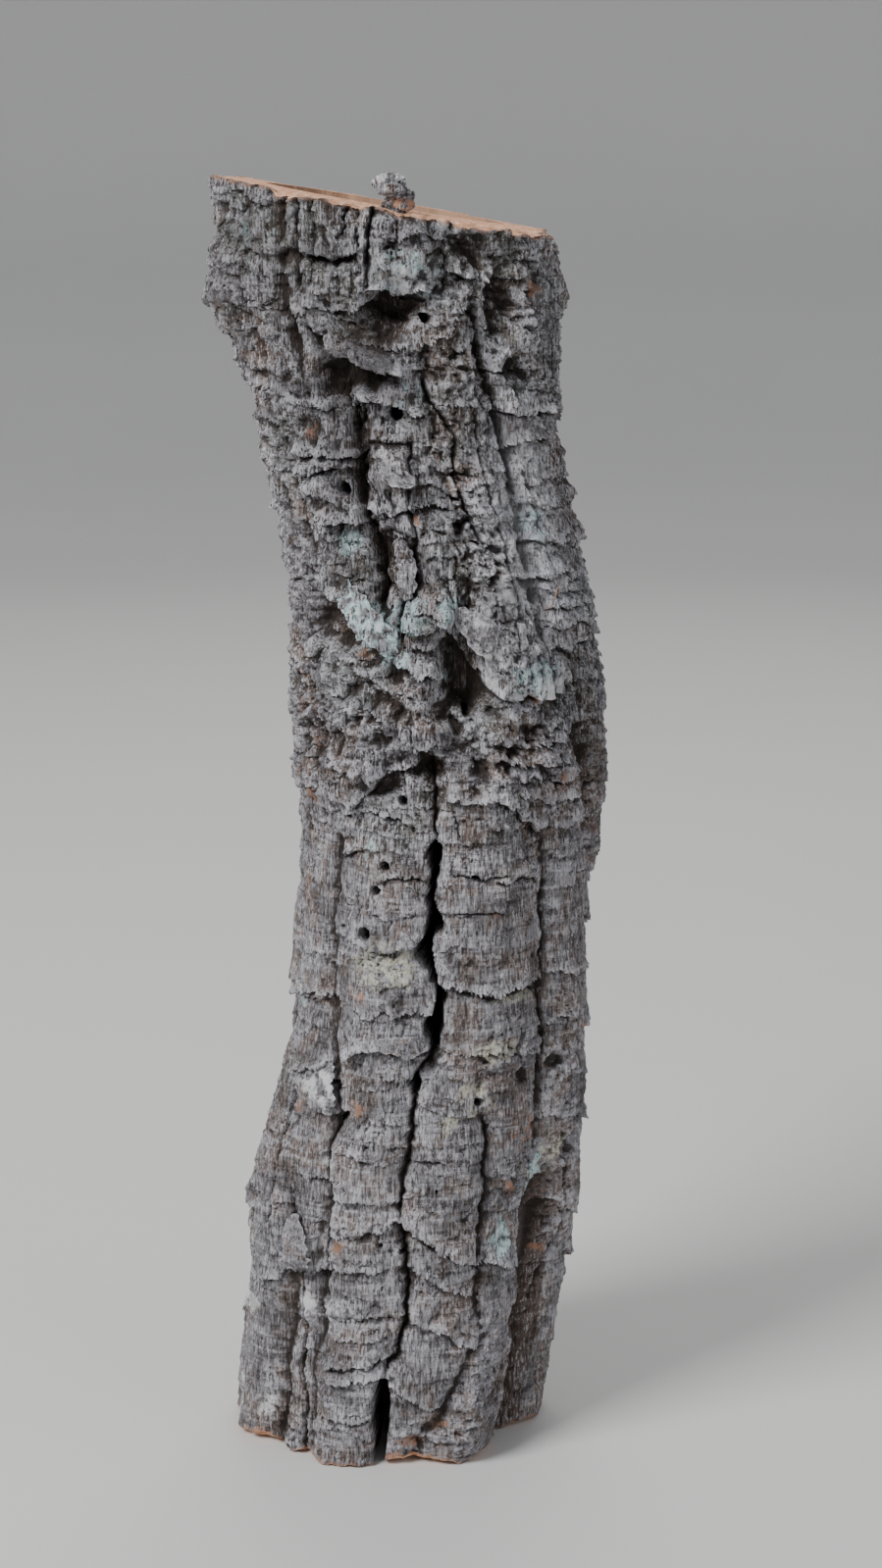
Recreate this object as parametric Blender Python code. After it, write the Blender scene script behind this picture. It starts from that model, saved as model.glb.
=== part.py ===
"""Cork branch: the hollow bark of a cork-oak branch, sawn off at both ends.

It stands on its flat lower cut. Metres, +Z up, the slit side faces -Y.
Places on the bark are given as degrees round from the front (+ towards +X) and height above the base.
"""

import math

import bmesh
import bpy
import numpy as np
from mathutils import Matrix, Vector, noise

# Sawn ends: the base is level at height 0, the top falls towards +X.
TOP_HEIGHT_AT_AXIS = 0.5854
TOP_SLOPE = -0.1695

# Left edge, right edge, front depth and back depth of the branch at each height.
SECTIONS = [
    (0.000, -0.087, 0.064, 0.064, 0.062),
    (0.045, -0.083, 0.072, 0.065, 0.064),
    (0.080, -0.079, 0.078, 0.066, 0.066),
    (0.115, -0.077, 0.082, 0.067, 0.067),
    (0.150, -0.071, 0.084, 0.067, 0.067),
    (0.180, -0.062, 0.084, 0.067, 0.066),
    (0.205, -0.057, 0.085, 0.067, 0.065),
    (0.240, -0.056, 0.085, 0.067, 0.064),
    (0.275, -0.053, 0.086, 0.066, 0.064),
    (0.300, -0.051, 0.089, 0.066, 0.064),
    (0.345, -0.056, 0.090, 0.068, 0.065),
    (0.385, -0.055, 0.087, 0.069, 0.067),
    (0.410, -0.055, 0.084, 0.069, 0.068),
    (0.440, -0.060, 0.078, 0.069, 0.069),
    (0.470, -0.068, 0.071, 0.068, 0.070),
    (0.500, -0.072, 0.069, 0.068, 0.069),
    (0.524, -0.080, 0.069, 0.068, 0.067),
    (0.546, -0.088, 0.069, 0.068, 0.066),
    (0.570, -0.088, 0.067, 0.068, 0.066),
    (0.620, -0.088, 0.067, 0.068, 0.067),
]
MEAN_RADIUS = 0.075
LEAST_WALL = 0.008

# Furrows of the back, those past this many degrees, wander sideways as they climb.
BACK_FROM = 90
WANDER = 0.0045
WANDER_PITCH = 0.105
SECOND_WANDER = 0.6
SECOND_WANDER_RATE = 2.7

# Thickness of the cork, and how far the bore's wall wanders from an even thickness.
WALL = 0.024
BORE_WANDER = 0.0025
BORE_WANDER_SIZE = 0.05
BORE_OVERRUN = 0.03

# Grid of the outside and of the bore.
OUTSIDE_COLUMNS = 70
OUTSIDE_ROWS = 57
BORE_COLUMNS = 26
BORE_ROWS = 11

# Furrows: path of (degrees, height), half width, depth.
FURROWS = [
    ([(-6, 0.352), (-6, 0.321), (-5, 0.284), (-4, 0.268), (-7, 0.252), (-1, 0.235), (-3, 0.209), (-8, 0.195),
      (-6, 0.160), (-5, 0.125), (-2, 0.105), (-1, 0.071), (-5, 0.043), (-3, 0.0)], 0.0085, 0.015),
    ([(-50, 0.300), (-49, 0.281), (-44, 0.206), (-36, 0.175), (-33, 0.135), (-31, 0.079), (-30, 0.0)],
     0.006, 0.008),
    ([(-50, 0.115), (-46, 0.070), (-46, 0.0)], 0.007, 0.008),
    ([(36, 0.310), (40, 0.283), (43, 0.207), (44, 0.160)], 0.006, 0.006),
    ([(14, 0.185), (19, 0.169), (22, 0.138), (22, 0.106), (25, 0.064), (19, 0.039), (12, 0.016), (10, 0.0)],
     0.006, 0.008),
    ([(50, 0.110), (56, 0.080), (58, 0.040), (56, 0.0)], 0.015, 0.017),
    ([(-17, 0.515), (-18, 0.482), (-20, 0.457), (-23, 0.417), (-20, 0.385)], 0.006, 0.009),
    ([(-37, 0.620), (-37, 0.571), (-37, 0.540)], 0.006, 0.006),
    ([(-58, 0.560), (-56, 0.500), (-52, 0.440), (-50, 0.410)], 0.006, 0.005),
    ([(30, 0.530), (33, 0.507), (39, 0.482), (38, 0.440), (38, 0.402)], 0.005, 0.006),
    ([(8, 0.515), (12, 0.480), (14, 0.440), (10, 0.405)], 0.005, 0.004),
    ([(62, 0.390), (64, 0.330), (62, 0.285)], 0.006, 0.006),
    ([(82, 0.265), (80, 0.200), (84, 0.120), (80, 0.030)], 0.008, 0.009),
    ([(98, 0.600), (92, 0.500), (100, 0.400), (104, 0.320)], 0.008, 0.008),
    ([(122, 0.330), (118, 0.240), (124, 0.120), (120, 0.0)], 0.008, 0.010),
    ([(138, 0.620), (142, 0.520), (134, 0.420), (140, 0.340)], 0.008, 0.009),
    ([(162, 0.400), (158, 0.300), (164, 0.180), (160, 0.0)], 0.009, 0.012),
    ([(184, 0.620), (180, 0.520), (188, 0.420), (182, 0.330)], 0.008, 0.009),
    ([(204, 0.360), (200, 0.260), (206, 0.120), (202, 0.0)], 0.008, 0.010),
    ([(226, 0.620), (232, 0.500), (224, 0.380), (230, 0.290)], 0.008, 0.009),
    ([(244, 0.310), (248, 0.200), (242, 0.100), (246, 0.0)], 0.009, 0.011),
    ([(264, 0.580), (268, 0.480), (276, 0.400), (272, 0.330)], 0.008, 0.007),
    ([(282, 0.260), (278, 0.180), (284, 0.080), (280, 0.0)], 0.007, 0.008),
]

# Full round lobes and raised strips: path of (degrees, height), half width, height.
RIBS = [
    ([(-24, 0.320), (-26, 0.250), (-20, 0.180), (-18, 0.100), (-17, 0.0)], 0.020, 0.006),
    ([(18, 0.320), (18, 0.240), (14, 0.180), (9, 0.110), (10, 0.050)], 0.022, 0.005),
    ([(27, 0.050), (26, 0.0)], 0.016, 0.006),
    ([(-21, 0.541), (-16, 0.531), (-8, 0.525), (0, 0.517)], 0.006, 0.007),
    ([(-66, 0.200), (-70, 0.110), (-64, 0.0)], 0.018, 0.004),
    ([(52, 0.300), (58, 0.200), (66, 0.120)], 0.014, 0.004),
    ([(22, 0.500), (27, 0.440), (26, 0.405)], 0.012, 0.003),
]

# Every ledge runs out over the last part of its half span, and is cut back under its lip.
LEDGE_RUN_OUT = (1.15, 0.3)
UNDERCUT = 0.6
UNDERCUT_STEEPNESS = 2.5

# Ledges, growth steps that overhang what is below: two ends as (degrees, height), lip, reach up and down.
LEDGES = [
    ((-8, 0.553), (12, 0.556), 0.006, 0.024),
    ((-30, 0.550), (-8, 0.545), 0.004, 0.016),
    ((-38, 0.497), (-20, 0.494), 0.004, 0.014),
    ((-20, 0.456), (-2, 0.455), 0.005, 0.014),
    ((-42, 0.470), (-22, 0.478), 0.004, 0.012),
    ((-40, 0.424), (-18, 0.386), 0.007, 0.018),
    ((-4, 0.404), (14, 0.372), 0.006, 0.020),
    ((14, 0.374), (46, 0.370), 0.006, 0.022),
    ((37, 0.426), (70, 0.431), 0.003, 0.012),
    ((46, 0.394), (88, 0.391), 0.004, 0.014),
    ((-24, 0.343), (-4, 0.350), 0.005, 0.016),
    ((26, 0.322), (52, 0.310), 0.005, 0.018),
    ((64, 0.281), (104, 0.279), 0.006, 0.022),
    ((-46, 0.296), (-10, 0.300), 0.002, 0.016),
    ((2, 0.290), (34, 0.285), 0.003, 0.016),
    ((-2, 0.242), (38, 0.236), 0.005, 0.022),
    ((-34, 0.222), (-6, 0.226), 0.003, 0.016),
    ((-38, 0.202), (-6, 0.208), 0.005, 0.016),
    ((-30, 0.134), (-6, 0.141), 0.003, 0.020),
    ((-6, 0.126), (40, 0.097), 0.005, 0.024),
    ((-56, 0.112), (-34, 0.100), 0.005, 0.018),
    ((-28, 0.076), (-4, 0.078), 0.002, 0.016),
    ((-28, 0.050), (-4, 0.052), 0.004, 0.016),
    ((-20, 0.026), (-6, 0.026), 0.002, 0.012),
    ((-96, 0.545), (-66, 0.525), 0.005, 0.024),
    ((-84, 0.392), (-60, 0.380), 0.005, 0.018),
    ((-100, 0.325), (-62, 0.320), 0.005, 0.018),
    ((66, 0.196), (104, 0.200), 0.004, 0.016),
    ((58, 0.124), (92, 0.110), 0.005, 0.020),
]

# Ledges of the back half, as (degrees, height), each one spanning the rib it lies on.
BACK_LEDGES = [
    (112, 0.520), (110, 0.430), (116, 0.350), (104, 0.250), (140, 0.270), (142, 0.180), (138, 0.070),
    (160, 0.560), (162, 0.460), (182, 0.230), (180, 0.130), (184, 0.050), (204, 0.540), (206, 0.440),
    (204, 0.400), (224, 0.250), (226, 0.150), (222, 0.060), (248, 0.560), (250, 0.450), (248, 0.350),
    (264, 0.220), (262, 0.110), (160, 0.350), (104, 0.080),
]
BACK_LEDGE_SPAN = 24
BACK_LEDGE_LIP = 0.0075
BACK_LEDGE_REACH = 0.024

# How square-shouldered the hollows and knobs are.
SPOT_POWER = 1.5

# Hollows torn into the bark: degrees, height, half width, half height, depth.
HOLLOWS = [
    (1, 0.542, 0.018, 0.011, 0.014),
    (-24, 0.533, 0.008, 0.009, 0.007),
    (-20, 0.512, 0.012, 0.013, 0.010),
    (31, 0.568, 0.010, 0.008, 0.007),
    (41, 0.546, 0.009, 0.015, 0.009),
    (46, 0.515, 0.011, 0.009, 0.006),
    (-40, 0.489, 0.010, 0.009, 0.007),
    (-69, 0.458, 0.011, 0.011, 0.008),
    (-13, 0.432, 0.012, 0.017, 0.010),
    (-46, 0.402, 0.020, 0.013, 0.014),
    (7, 0.383, 0.014, 0.017, 0.015),
    (-22, 0.367, 0.010, 0.008, 0.007),
    (-61, 0.346, 0.012, 0.012, 0.009),
    (-42, 0.350, 0.012, 0.010, 0.006),
    (58, 0.345, 0.012, 0.012, 0.006),
    (-14, 0.336, 0.012, 0.010, 0.005),
    (50, 0.104, 0.011, 0.014, 0.010),
    (46, 0.064, 0.009, 0.009, 0.006),
    (112, 0.470, 0.014, 0.014, 0.009),
    (168, 0.505, 0.013, 0.012, 0.009),
    (206, 0.480, 0.012, 0.011, 0.007),
    (246, 0.400, 0.014, 0.014, 0.009),
    (142, 0.225, 0.013, 0.014, 0.008),
    (224, 0.200, 0.013, 0.013, 0.008),
    (184, 0.285, 0.013, 0.012, 0.009),
]

# Plates and knobs standing proud: degrees, height, half width, half height, how proud.
KNOBS = [
    (3, 0.572, 0.015, 0.015, 0.005),
    (-6, 0.474, 0.010, 0.010, 0.006),
    (-3, 0.410, 0.014, 0.012, 0.003),
    (25, 0.390, 0.018, 0.012, 0.005),
    (-70, 0.556, 0.020, 0.020, 0.004),
    (-10, 0.508, 0.012, 0.007, 0.005),
    (78, 0.345, 0.018, 0.030, 0.003),
    (12, 0.330, 0.018, 0.014, 0.004),
    (48, 0.535, 0.010, 0.009, 0.005),
    (-52, 0.185, 0.010, 0.012, 0.003),
    (74, 0.186, 0.012, 0.014, 0.004),
    (30, 0.020, 0.016, 0.016, 0.004),
]

# Lumps of the whole surface: size, height on the rough upper part and on the smoother lower part.
LUMPS = [(0.042, 0.0050, 0.0030), (0.018, 0.0042, 0.0018)]
ROUGH_ABOVE = 0.30
ROUGH_BLEND = 0.06

# Open slit into the bore, and the gap in the base below it: (degrees, height, width) from top to bottom.
SLIT = [
    (-6, 0.309, 0.0020), (-5, 0.302, 0.0055), (-5, 0.290, 0.0060), (-5, 0.280, 0.0035), (-4, 0.270, 0.0080),
    (-6, 0.258, 0.0075), (-6, 0.250, 0.0090), (-3, 0.243, 0.0040), (0, 0.236, 0.0050), (-2, 0.228, 0.0045),
    (-3, 0.219, 0.0085), (-3, 0.211, 0.0065), (-4, 0.206, 0.0020),
]
BASE_GAP = [
    (-5, 0.046, 0.0020), (-5, 0.036, 0.0065), (-4, 0.020, 0.0070), (-3, 0.008, 0.0040), (-3, -0.02, 0.0040),
]
SLIT_INNER = 0.028
SLIT_OUTER = 0.110

# Round holes bored by beetles: degrees, height, diameter.
BORINGS = [
    (12, 0.540, 0.0050), (-3, 0.499, 0.0065), (-27, 0.465, 0.0070), (-16, 0.325, 0.0040),
    (-23, 0.294, 0.0050), (-26, 0.282, 0.0050), (-29, 0.261, 0.0070), (-8, 0.192, 0.0060),
    (16, 0.182, 0.0045), (8, 0.365, 0.0050),
]
BORING_DEPTH = 0.014
BORING_SIDES = 8

# Flake of outer bark left standing on the rim.
FLAKE_PLACE = (-0.003, -0.0590, 0.5900)
FLAKE_SIZE = (0.0085, 0.0065, 0.0085)
FLAKE_SWELL = 0.35
FLAKE_SWELL_RATE = 1.7

BARK_COLOUR = (0.235, 0.215, 0.200, 1)
CUT_COLOUR = (0.480, 0.230, 0.110, 1)
BORE_COLOUR = (0.150, 0.085, 0.055, 1)
BARK, CUT, BORE = 0, 1, 2

SMOOTH_BELOW_ANGLE = math.radians(35)


def clear_scene():
    for item in list(bpy.data.objects):
        bpy.data.objects.remove(item, do_unlink=True)


def new_collection(name):
    collection = bpy.data.collections.new(name)
    bpy.context.scene.collection.children.link(collection)
    return collection


def material(name, colour, roughness):
    made = bpy.data.materials.new(name)
    made.use_nodes = True
    shader = made.node_tree.nodes["Principled BSDF"]
    shader.inputs["Base Color"].default_value = colour
    shader.inputs["Roughness"].default_value = roughness
    shader.inputs["Metallic"].default_value = 0.0
    made.diffuse_color = colour
    return made


def smooth_between(at, places, values):
    """Values at the places asked for, on a smooth curve through the stated ones."""
    places = np.asarray(places, float)
    values = np.asarray(values, float)
    slopes = np.gradient(values, places)
    at = np.clip(at, places[0], places[-1])
    left = np.clip(np.searchsorted(places, at) - 1, 0, len(places) - 2)
    span = places[left + 1] - places[left]
    t = (at - places[left]) / span
    return (
        (2 * t**3 - 3 * t**2 + 1) * values[left]
        + (t**3 - 2 * t**2 + t) * span * slopes[left]
        + (3 * t**2 - 2 * t**3) * values[left + 1]
        + (t**3 - t**2) * span * slopes[left + 1]
    )


def section(height):
    """Centre x, half width, front depth and back depth of the branch at a height."""
    stations = np.array(SECTIONS)
    left, right, front, back = (smooth_between(height, stations[:, 0], stations[:, k]) for k in range(1, 5))
    return (left + right) / 2, (right - left) / 2, front, back


def on_section(angle, height, outward):
    """Point at an angle and height, pushed outward from the plain oval section."""
    centre, half_width, front, back = section(height)
    depth = np.where(np.cos(angle) > 0, front, back)
    x = centre + half_width * np.sin(angle) + outward * np.sin(angle)
    y = -depth * np.cos(angle) - outward * np.cos(angle)
    return np.stack([x, y, height + 0 * x], axis=-1)


def turn_between(angle, other):
    """Signed distance round the bark between two angles, in metres."""
    return MEAN_RADIUS * ((angle - other + math.pi) % (2 * math.pi) - math.pi)


def along_path(angle, height, path, half_width):
    """1 on the middle of a path, falling to 0 beside it and past its ends."""
    points = np.array(sorted(path, key=lambda point: point[1]), float)
    middle = np.radians(np.interp(height, points[:, 1], points[:, 0]))
    aside = turn_between(angle, middle)
    if points[0, 0] > BACK_FROM:
        swing = 2 * math.pi * height / WANDER_PITCH + points[0, 0]
        aside += WANDER * (np.sin(swing) + SECOND_WANDER * np.sin(SECOND_WANDER_RATE * swing))
    across = aside / half_width
    past = np.maximum(points[0, 1] - height, height - points[-1, 1]) / (2 * half_width)
    return np.exp(-(across**2)) * np.exp(-(np.maximum(past, 0) ** 2))


def ledge(angle, height, start, end, lip, reach):
    """Bulge that grows down to a line and drops back sharply under it."""
    middle = math.radians((start[0] + end[0]) / 2)
    half_span = abs(math.radians(end[0] - start[0])) / 2
    across = turn_between(angle, middle) / MEAN_RADIUS / half_span
    slope = (end[1] - start[1]) / 2
    above = height - ((start[1] + end[1]) / 2 + slope * np.clip(across, -1, 1))
    inside = np.clip((LEDGE_RUN_OUT[0] - np.abs(across)) / LEDGE_RUN_OUT[1], 0, 1)
    over = np.where(above >= 0, np.exp(-np.maximum(above, 0) / reach), 0)
    under = np.where(above < 0, np.exp(np.minimum(above, 0) / reach * UNDERCUT_STEEPNESS), 0)
    return inside * lip * (over - UNDERCUT * under)


def spot(angle, height, place):
    """Smooth oval patch, 1 in its middle."""
    degrees, middle, half_width, half_height = place[:4]
    across = turn_between(angle, math.radians(degrees)) / half_width
    up = (height - middle) / half_height
    return np.exp(-((across**2 + up**2) ** SPOT_POWER))


def lumps(points, height):
    """Random swelling of the bark, rougher on its upper part."""
    rough = np.clip((height - ROUGH_ABOVE) / ROUGH_BLEND + 0.5, 0, 1)
    total = np.zeros(len(points))
    for size, upper, lower in LUMPS:
        waves = np.array([noise.noise(Vector(point) / size) for point in points])
        total += waves * (lower + (upper - lower) * rough)
    return total


def bark_relief(angle, height):
    """How far the bark stands out from the plain oval section."""
    relief = np.zeros(len(angle))
    for path, half_width, depth in FURROWS:
        relief -= depth * along_path(angle, height, path, half_width)
    for path, half_width, proud in RIBS:
        relief += proud * along_path(angle, height, path, half_width)
    for start, end, lip, reach in LEDGES:
        relief += ledge(angle, height, start, end, lip, reach)
    for degrees, middle in BACK_LEDGES:
        start = (degrees - BACK_LEDGE_SPAN / 2, middle)
        end = (degrees + BACK_LEDGE_SPAN / 2, middle)
        relief += ledge(angle, height, start, end, BACK_LEDGE_LIP, BACK_LEDGE_REACH)
    for place in HOLLOWS:
        relief -= place[4] * spot(angle, height, place)
    for place in KNOBS:
        relief += place[4] * spot(angle, height, place)
    relief += lumps(on_section(angle, height, 0), height)
    return np.maximum(relief, LEAST_WALL - WALL)


def loft(name, rings, side_material, end_material):
    """Closed solid through level rings of points, listed from the lowest up."""
    rows, columns = rings.shape[:2]
    faces = []
    for row in range(rows - 1):
        for column in range(columns):
            beside = (column + 1) % columns
            faces.append((row * columns + column, row * columns + beside,
                          (row + 1) * columns + beside, (row + 1) * columns + column))
    sides = len(faces)
    faces.append(tuple(reversed(range(columns))))
    faces.append(tuple((rows - 1) * columns + column for column in range(columns)))
    mesh = bpy.data.meshes.new(name)
    mesh.from_pydata(rings.reshape(-1, 3).tolist(), [], faces)
    for polygon in mesh.polygons:
        polygon.material_index = side_material if polygon.index < sides else end_material
    return bpy.data.objects.new(name, mesh)


def bark_solid():
    """The outside of the branch as one solid, with its two sawn ends."""
    angles = np.linspace(0, 2 * math.pi, OUTSIDE_COLUMNS, endpoint=False)
    rings = []
    for row in range(OUTSIDE_ROWS + 1):
        share = row / OUTSIDE_ROWS
        height = np.full(OUTSIDE_COLUMNS, share * TOP_HEIGHT_AT_AXIS)
        for _ in range(3):
            points = on_section(angles, height, bark_relief(angles, height))
            height = share * (TOP_HEIGHT_AT_AXIS + TOP_SLOPE * points[:, 0])
        points[:, 2] = share * (TOP_HEIGHT_AT_AXIS + TOP_SLOPE * points[:, 0])
        rings.append(points)
    return loft("cork_branch", np.array(rings), BARK, CUT)


def bore_cutter():
    """The space that the wood left, running past both ends."""
    angles = np.linspace(0, 2 * math.pi, BORE_COLUMNS, endpoint=False)
    rings = []
    for height in np.linspace(-BORE_OVERRUN, TOP_HEIGHT_AT_AXIS + 2 * BORE_OVERRUN, BORE_ROWS + 1):
        level = np.full(BORE_COLUMNS, height)
        points = on_section(angles, level, -WALL)
        wander = [BORE_WANDER * noise.noise(Vector(point) / BORE_WANDER_SIZE) for point in points]
        rings.append(on_section(angles, level, -WALL + np.array(wander)))
    return loft("bore_cutter", np.array(rings), BORE, BORE)


def gap_cutter(name, stations):
    """Narrow crooked slot through the front wall, following its stations up the bark."""
    rings = []
    for degrees, height, width in sorted(stations, key=lambda station: station[1]):
        centre = float(section(height)[0])
        angle = math.radians(degrees)
        out = Vector((math.sin(angle), -math.cos(angle), 0))
        side = Vector((math.cos(angle), math.sin(angle), 0)) * width / 2
        middle = Vector((centre, 0, height))
        rings.append([
            middle + out * SLIT_INNER - side,
            middle + out * SLIT_OUTER - side,
            middle + out * SLIT_OUTER + side,
            middle + out * SLIT_INNER + side,
        ])
    return loft(name, np.array(rings), BORE, BORE)


def boring_cutter(number, degrees, height, diameter):
    """Round hole drilled square to the bark."""
    angle = np.array([math.radians(degrees)])
    level = np.array([height])
    outside = Vector(on_section(angle, level, bark_relief(angle, level))[0])
    out = Vector((math.sin(angle[0]), -math.cos(angle[0]), 0))
    mesh = bpy.data.meshes.new(f"boring_cutter_{number}")
    shape = bmesh.new()
    bmesh.ops.create_cone(shape, cap_ends=True, segments=BORING_SIDES, radius1=diameter / 2,
                          radius2=diameter / 2, depth=2 * BORING_DEPTH)
    place = Matrix.Translation(outside) @ out.to_track_quat("Z", "Y").to_matrix().to_4x4()
    bmesh.ops.transform(shape, matrix=place, verts=shape.verts)
    shape.to_mesh(mesh)
    shape.free()
    for polygon in mesh.polygons:
        polygon.material_index = BORE
    return bpy.data.objects.new(mesh.name, mesh)


def rim_flake():
    """Scab of outer bark that stands on the upper rim."""
    mesh = bpy.data.meshes.new("rim_flake")
    shape = bmesh.new()
    bmesh.ops.create_icosphere(shape, subdivisions=1, radius=1)
    for vertex in shape.verts:
        swell = 1 + FLAKE_SWELL * noise.noise(vertex.co * FLAKE_SWELL_RATE)
        vertex.co = Vector(vertex.co[k] * FLAKE_SIZE[k] * swell + FLAKE_PLACE[k] for k in range(3))
    shape.to_mesh(mesh)
    shape.free()
    return bpy.data.objects.new("rim_flake", mesh)


def combine(solid, tool, operation):
    modifier = solid.modifiers.new(tool.name, "BOOLEAN")
    modifier.object = tool
    modifier.operation = operation
    modifier.solver = "EXACT"


def build():
    clear_scene()
    parts = new_collection("cork_branch")
    cutters = new_collection("cutters")
    finishes = [
        material("bark", BARK_COLOUR, 0.9),
        material("cut_cork", CUT_COLOUR, 0.85),
        material("bore_wall", BORE_COLOUR, 0.9),
    ]
    branch = bark_solid()
    parts.objects.link(branch)

    tools = [(rim_flake(), "UNION"), (bore_cutter(), "DIFFERENCE")]
    tools.append((gap_cutter("slit_cutter", SLIT), "DIFFERENCE"))
    tools.append((gap_cutter("base_gap_cutter", BASE_GAP), "DIFFERENCE"))
    for number, (degrees, height, diameter) in enumerate(BORINGS, start=1):
        tools.append((boring_cutter(number, degrees, height, diameter), "DIFFERENCE"))

    for tool, operation in tools:
        cutters.objects.link(tool)
        tool.display_type = "WIRE"
        tool.hide_render = True
        combine(branch, tool, operation)
    for item in [branch] + [tool for tool, _ in tools]:
        for finish in finishes:
            item.data.materials.append(finish)
    branch.data.shade_smooth()
    branch.data.set_sharp_from_angle(angle=SMOOTH_BELOW_ANGLE)


build()
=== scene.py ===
import math

import bpy
import numpy as np
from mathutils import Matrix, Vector


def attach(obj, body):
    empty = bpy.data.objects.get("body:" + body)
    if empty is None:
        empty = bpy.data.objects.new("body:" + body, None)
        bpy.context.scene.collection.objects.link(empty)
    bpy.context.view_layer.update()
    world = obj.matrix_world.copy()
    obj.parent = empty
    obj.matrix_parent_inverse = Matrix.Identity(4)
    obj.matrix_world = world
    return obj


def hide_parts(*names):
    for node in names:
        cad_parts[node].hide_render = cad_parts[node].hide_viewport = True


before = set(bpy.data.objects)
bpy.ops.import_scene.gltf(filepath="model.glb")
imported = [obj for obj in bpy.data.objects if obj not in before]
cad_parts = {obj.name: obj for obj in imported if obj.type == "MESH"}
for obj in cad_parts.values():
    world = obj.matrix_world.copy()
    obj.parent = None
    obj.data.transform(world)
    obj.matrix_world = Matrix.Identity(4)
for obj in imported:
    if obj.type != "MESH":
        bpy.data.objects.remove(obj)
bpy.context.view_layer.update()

# Cork branch: hollow cork-oak bark standing on its sawn base, the slit side towards -Y.
# A place on the bark is its degrees round from the front, + towards +X, and its height above the base.
# The tables from sections to flakes are in millimetres and become metres, which all else is in.

branch = {  # metres and degrees
    "topAtAxis": 0.5854, "topSlope": -0.1695, "meanRadius": 0.075, "wall": 0.024,
    "wander": 0.0045, "wanderPitch": 0.105, "upper": (0.27, 0.36),
    "rows": 700, "frontColumns": 320, "backColumns": 210, "frontReach": 100, "crease": 50,
    "boreRows": 110, "cutRows": 22, "flakeRows": 70, "flakeColumns": 26,
}
girth = 2 * math.pi * branch["meanRadius"]


def paths(rows):  # each row a path of (degrees, mm), then sizes in mm
    return [([(degrees, height / 1000) for degrees, height in path], *(size / 1000 for size in sizes))
            for path, *sizes in rows]


def spots(rows, lengths):  # each row degrees, then lengths in mm, then plain numbers
    return [(row[0], *(value / 1000 for value in row[1:lengths + 1]), *row[lengths + 1:]) for row in rows]


# height, left edge, right edge, front depth, back depth
sections = np.array([
    (0, -87, 64, 64, 62), (45, -83, 72, 65, 64), (80, -79, 78, 66, 66), (115, -77, 82, 67, 67),
    (150, -71, 84, 67, 67), (180, -62, 84, 67, 66), (205, -57, 85, 67, 65), (240, -56, 85, 67, 64),
    (275, -53, 86, 66, 64), (300, -51, 89, 66, 64), (345, -56, 90, 68, 65), (385, -55, 87, 69, 67),
    (410, -55, 84, 69, 68), (440, -60, 78, 69, 69), (470, -68, 71, 68, 70), (500, -72, 69, 68, 69),
    (524, -80, 69, 68, 67), (546, -88, 69, 68, 66), (570, -88, 67, 68, 66), (620, -88, 67, 68, 67),
]) / 1000

# path of (degrees, height), half width, depth
furrows = paths([
    ([(-6, 345), (-6, 321), (-5, 284), (-4, 268), (-7, 252), (-1, 235), (-3, 209)], 4.4, 3),
    ([(-4, 205), (-8, 195), (-6, 160), (-5, 125), (-2, 105), (-1, 71), (-5, 43), (-3, 0)], 4.2, 4.6),
    ([(-50, 300), (-49, 281), (-44, 206), (-36, 175), (-33, 135), (-31, 79), (-30, 0)], 4.5, 4.5),
    ([(-50, 115), (-46, 70), (-44, 0)], 6, 6), ([(36, 310), (40, 283), (43, 207), (44, 160)], 5, 4.5),
    ([(14, 185), (19, 169), (22, 138), (22, 106), (25, 64), (19, 39), (12, 16), (10, 0)], 4.5, 4.2),
    ([(50, 110), (56, 80), (58, 40), (56, 0)], 15, 17),
    ([(-17, 515), (-18, 482), (-20, 457), (-23, 417), (-20, 385)], 6, 9),
    ([(-37, 620), (-37, 571), (-38, 545), (-36, 510)], 5.5, 8.5),
    ([(-58, 560), (-56, 500), (-52, 440), (-50, 410)], 6, 5),
    ([(30, 530), (33, 507), (39, 482), (38, 440), (38, 402)], 5, 6),
    ([(8, 515), (12, 480), (14, 440), (10, 405)], 5, 4), ([(62, 390), (64, 330), (62, 285)], 6, 6),
    ([(82, 265), (80, 200), (84, 120), (80, 30)], 8, 9),
    ([(98, 600), (92, 500), (100, 400), (104, 320)], 8, 8),
    ([(122, 330), (118, 240), (124, 120), (120, 0)], 8, 10),
    ([(138, 620), (142, 520), (134, 420), (140, 340)], 8, 9),
    ([(162, 400), (158, 300), (164, 180), (160, 0)], 9, 12),
    ([(184, 620), (180, 520), (188, 420), (182, 330)], 8, 9),
    ([(204, 360), (200, 260), (206, 120), (202, 0)], 8, 10),
    ([(226, 620), (232, 500), (224, 380), (230, 290)], 8, 9),
    ([(244, 310), (248, 200), (242, 100), (246, 0)], 9, 11),
    ([(264, 580), (268, 480), (276, 400), (272, 330)], 8, 7),
    ([(282, 260), (278, 180), (284, 80), (280, 0)], 7, 8),
])

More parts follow.
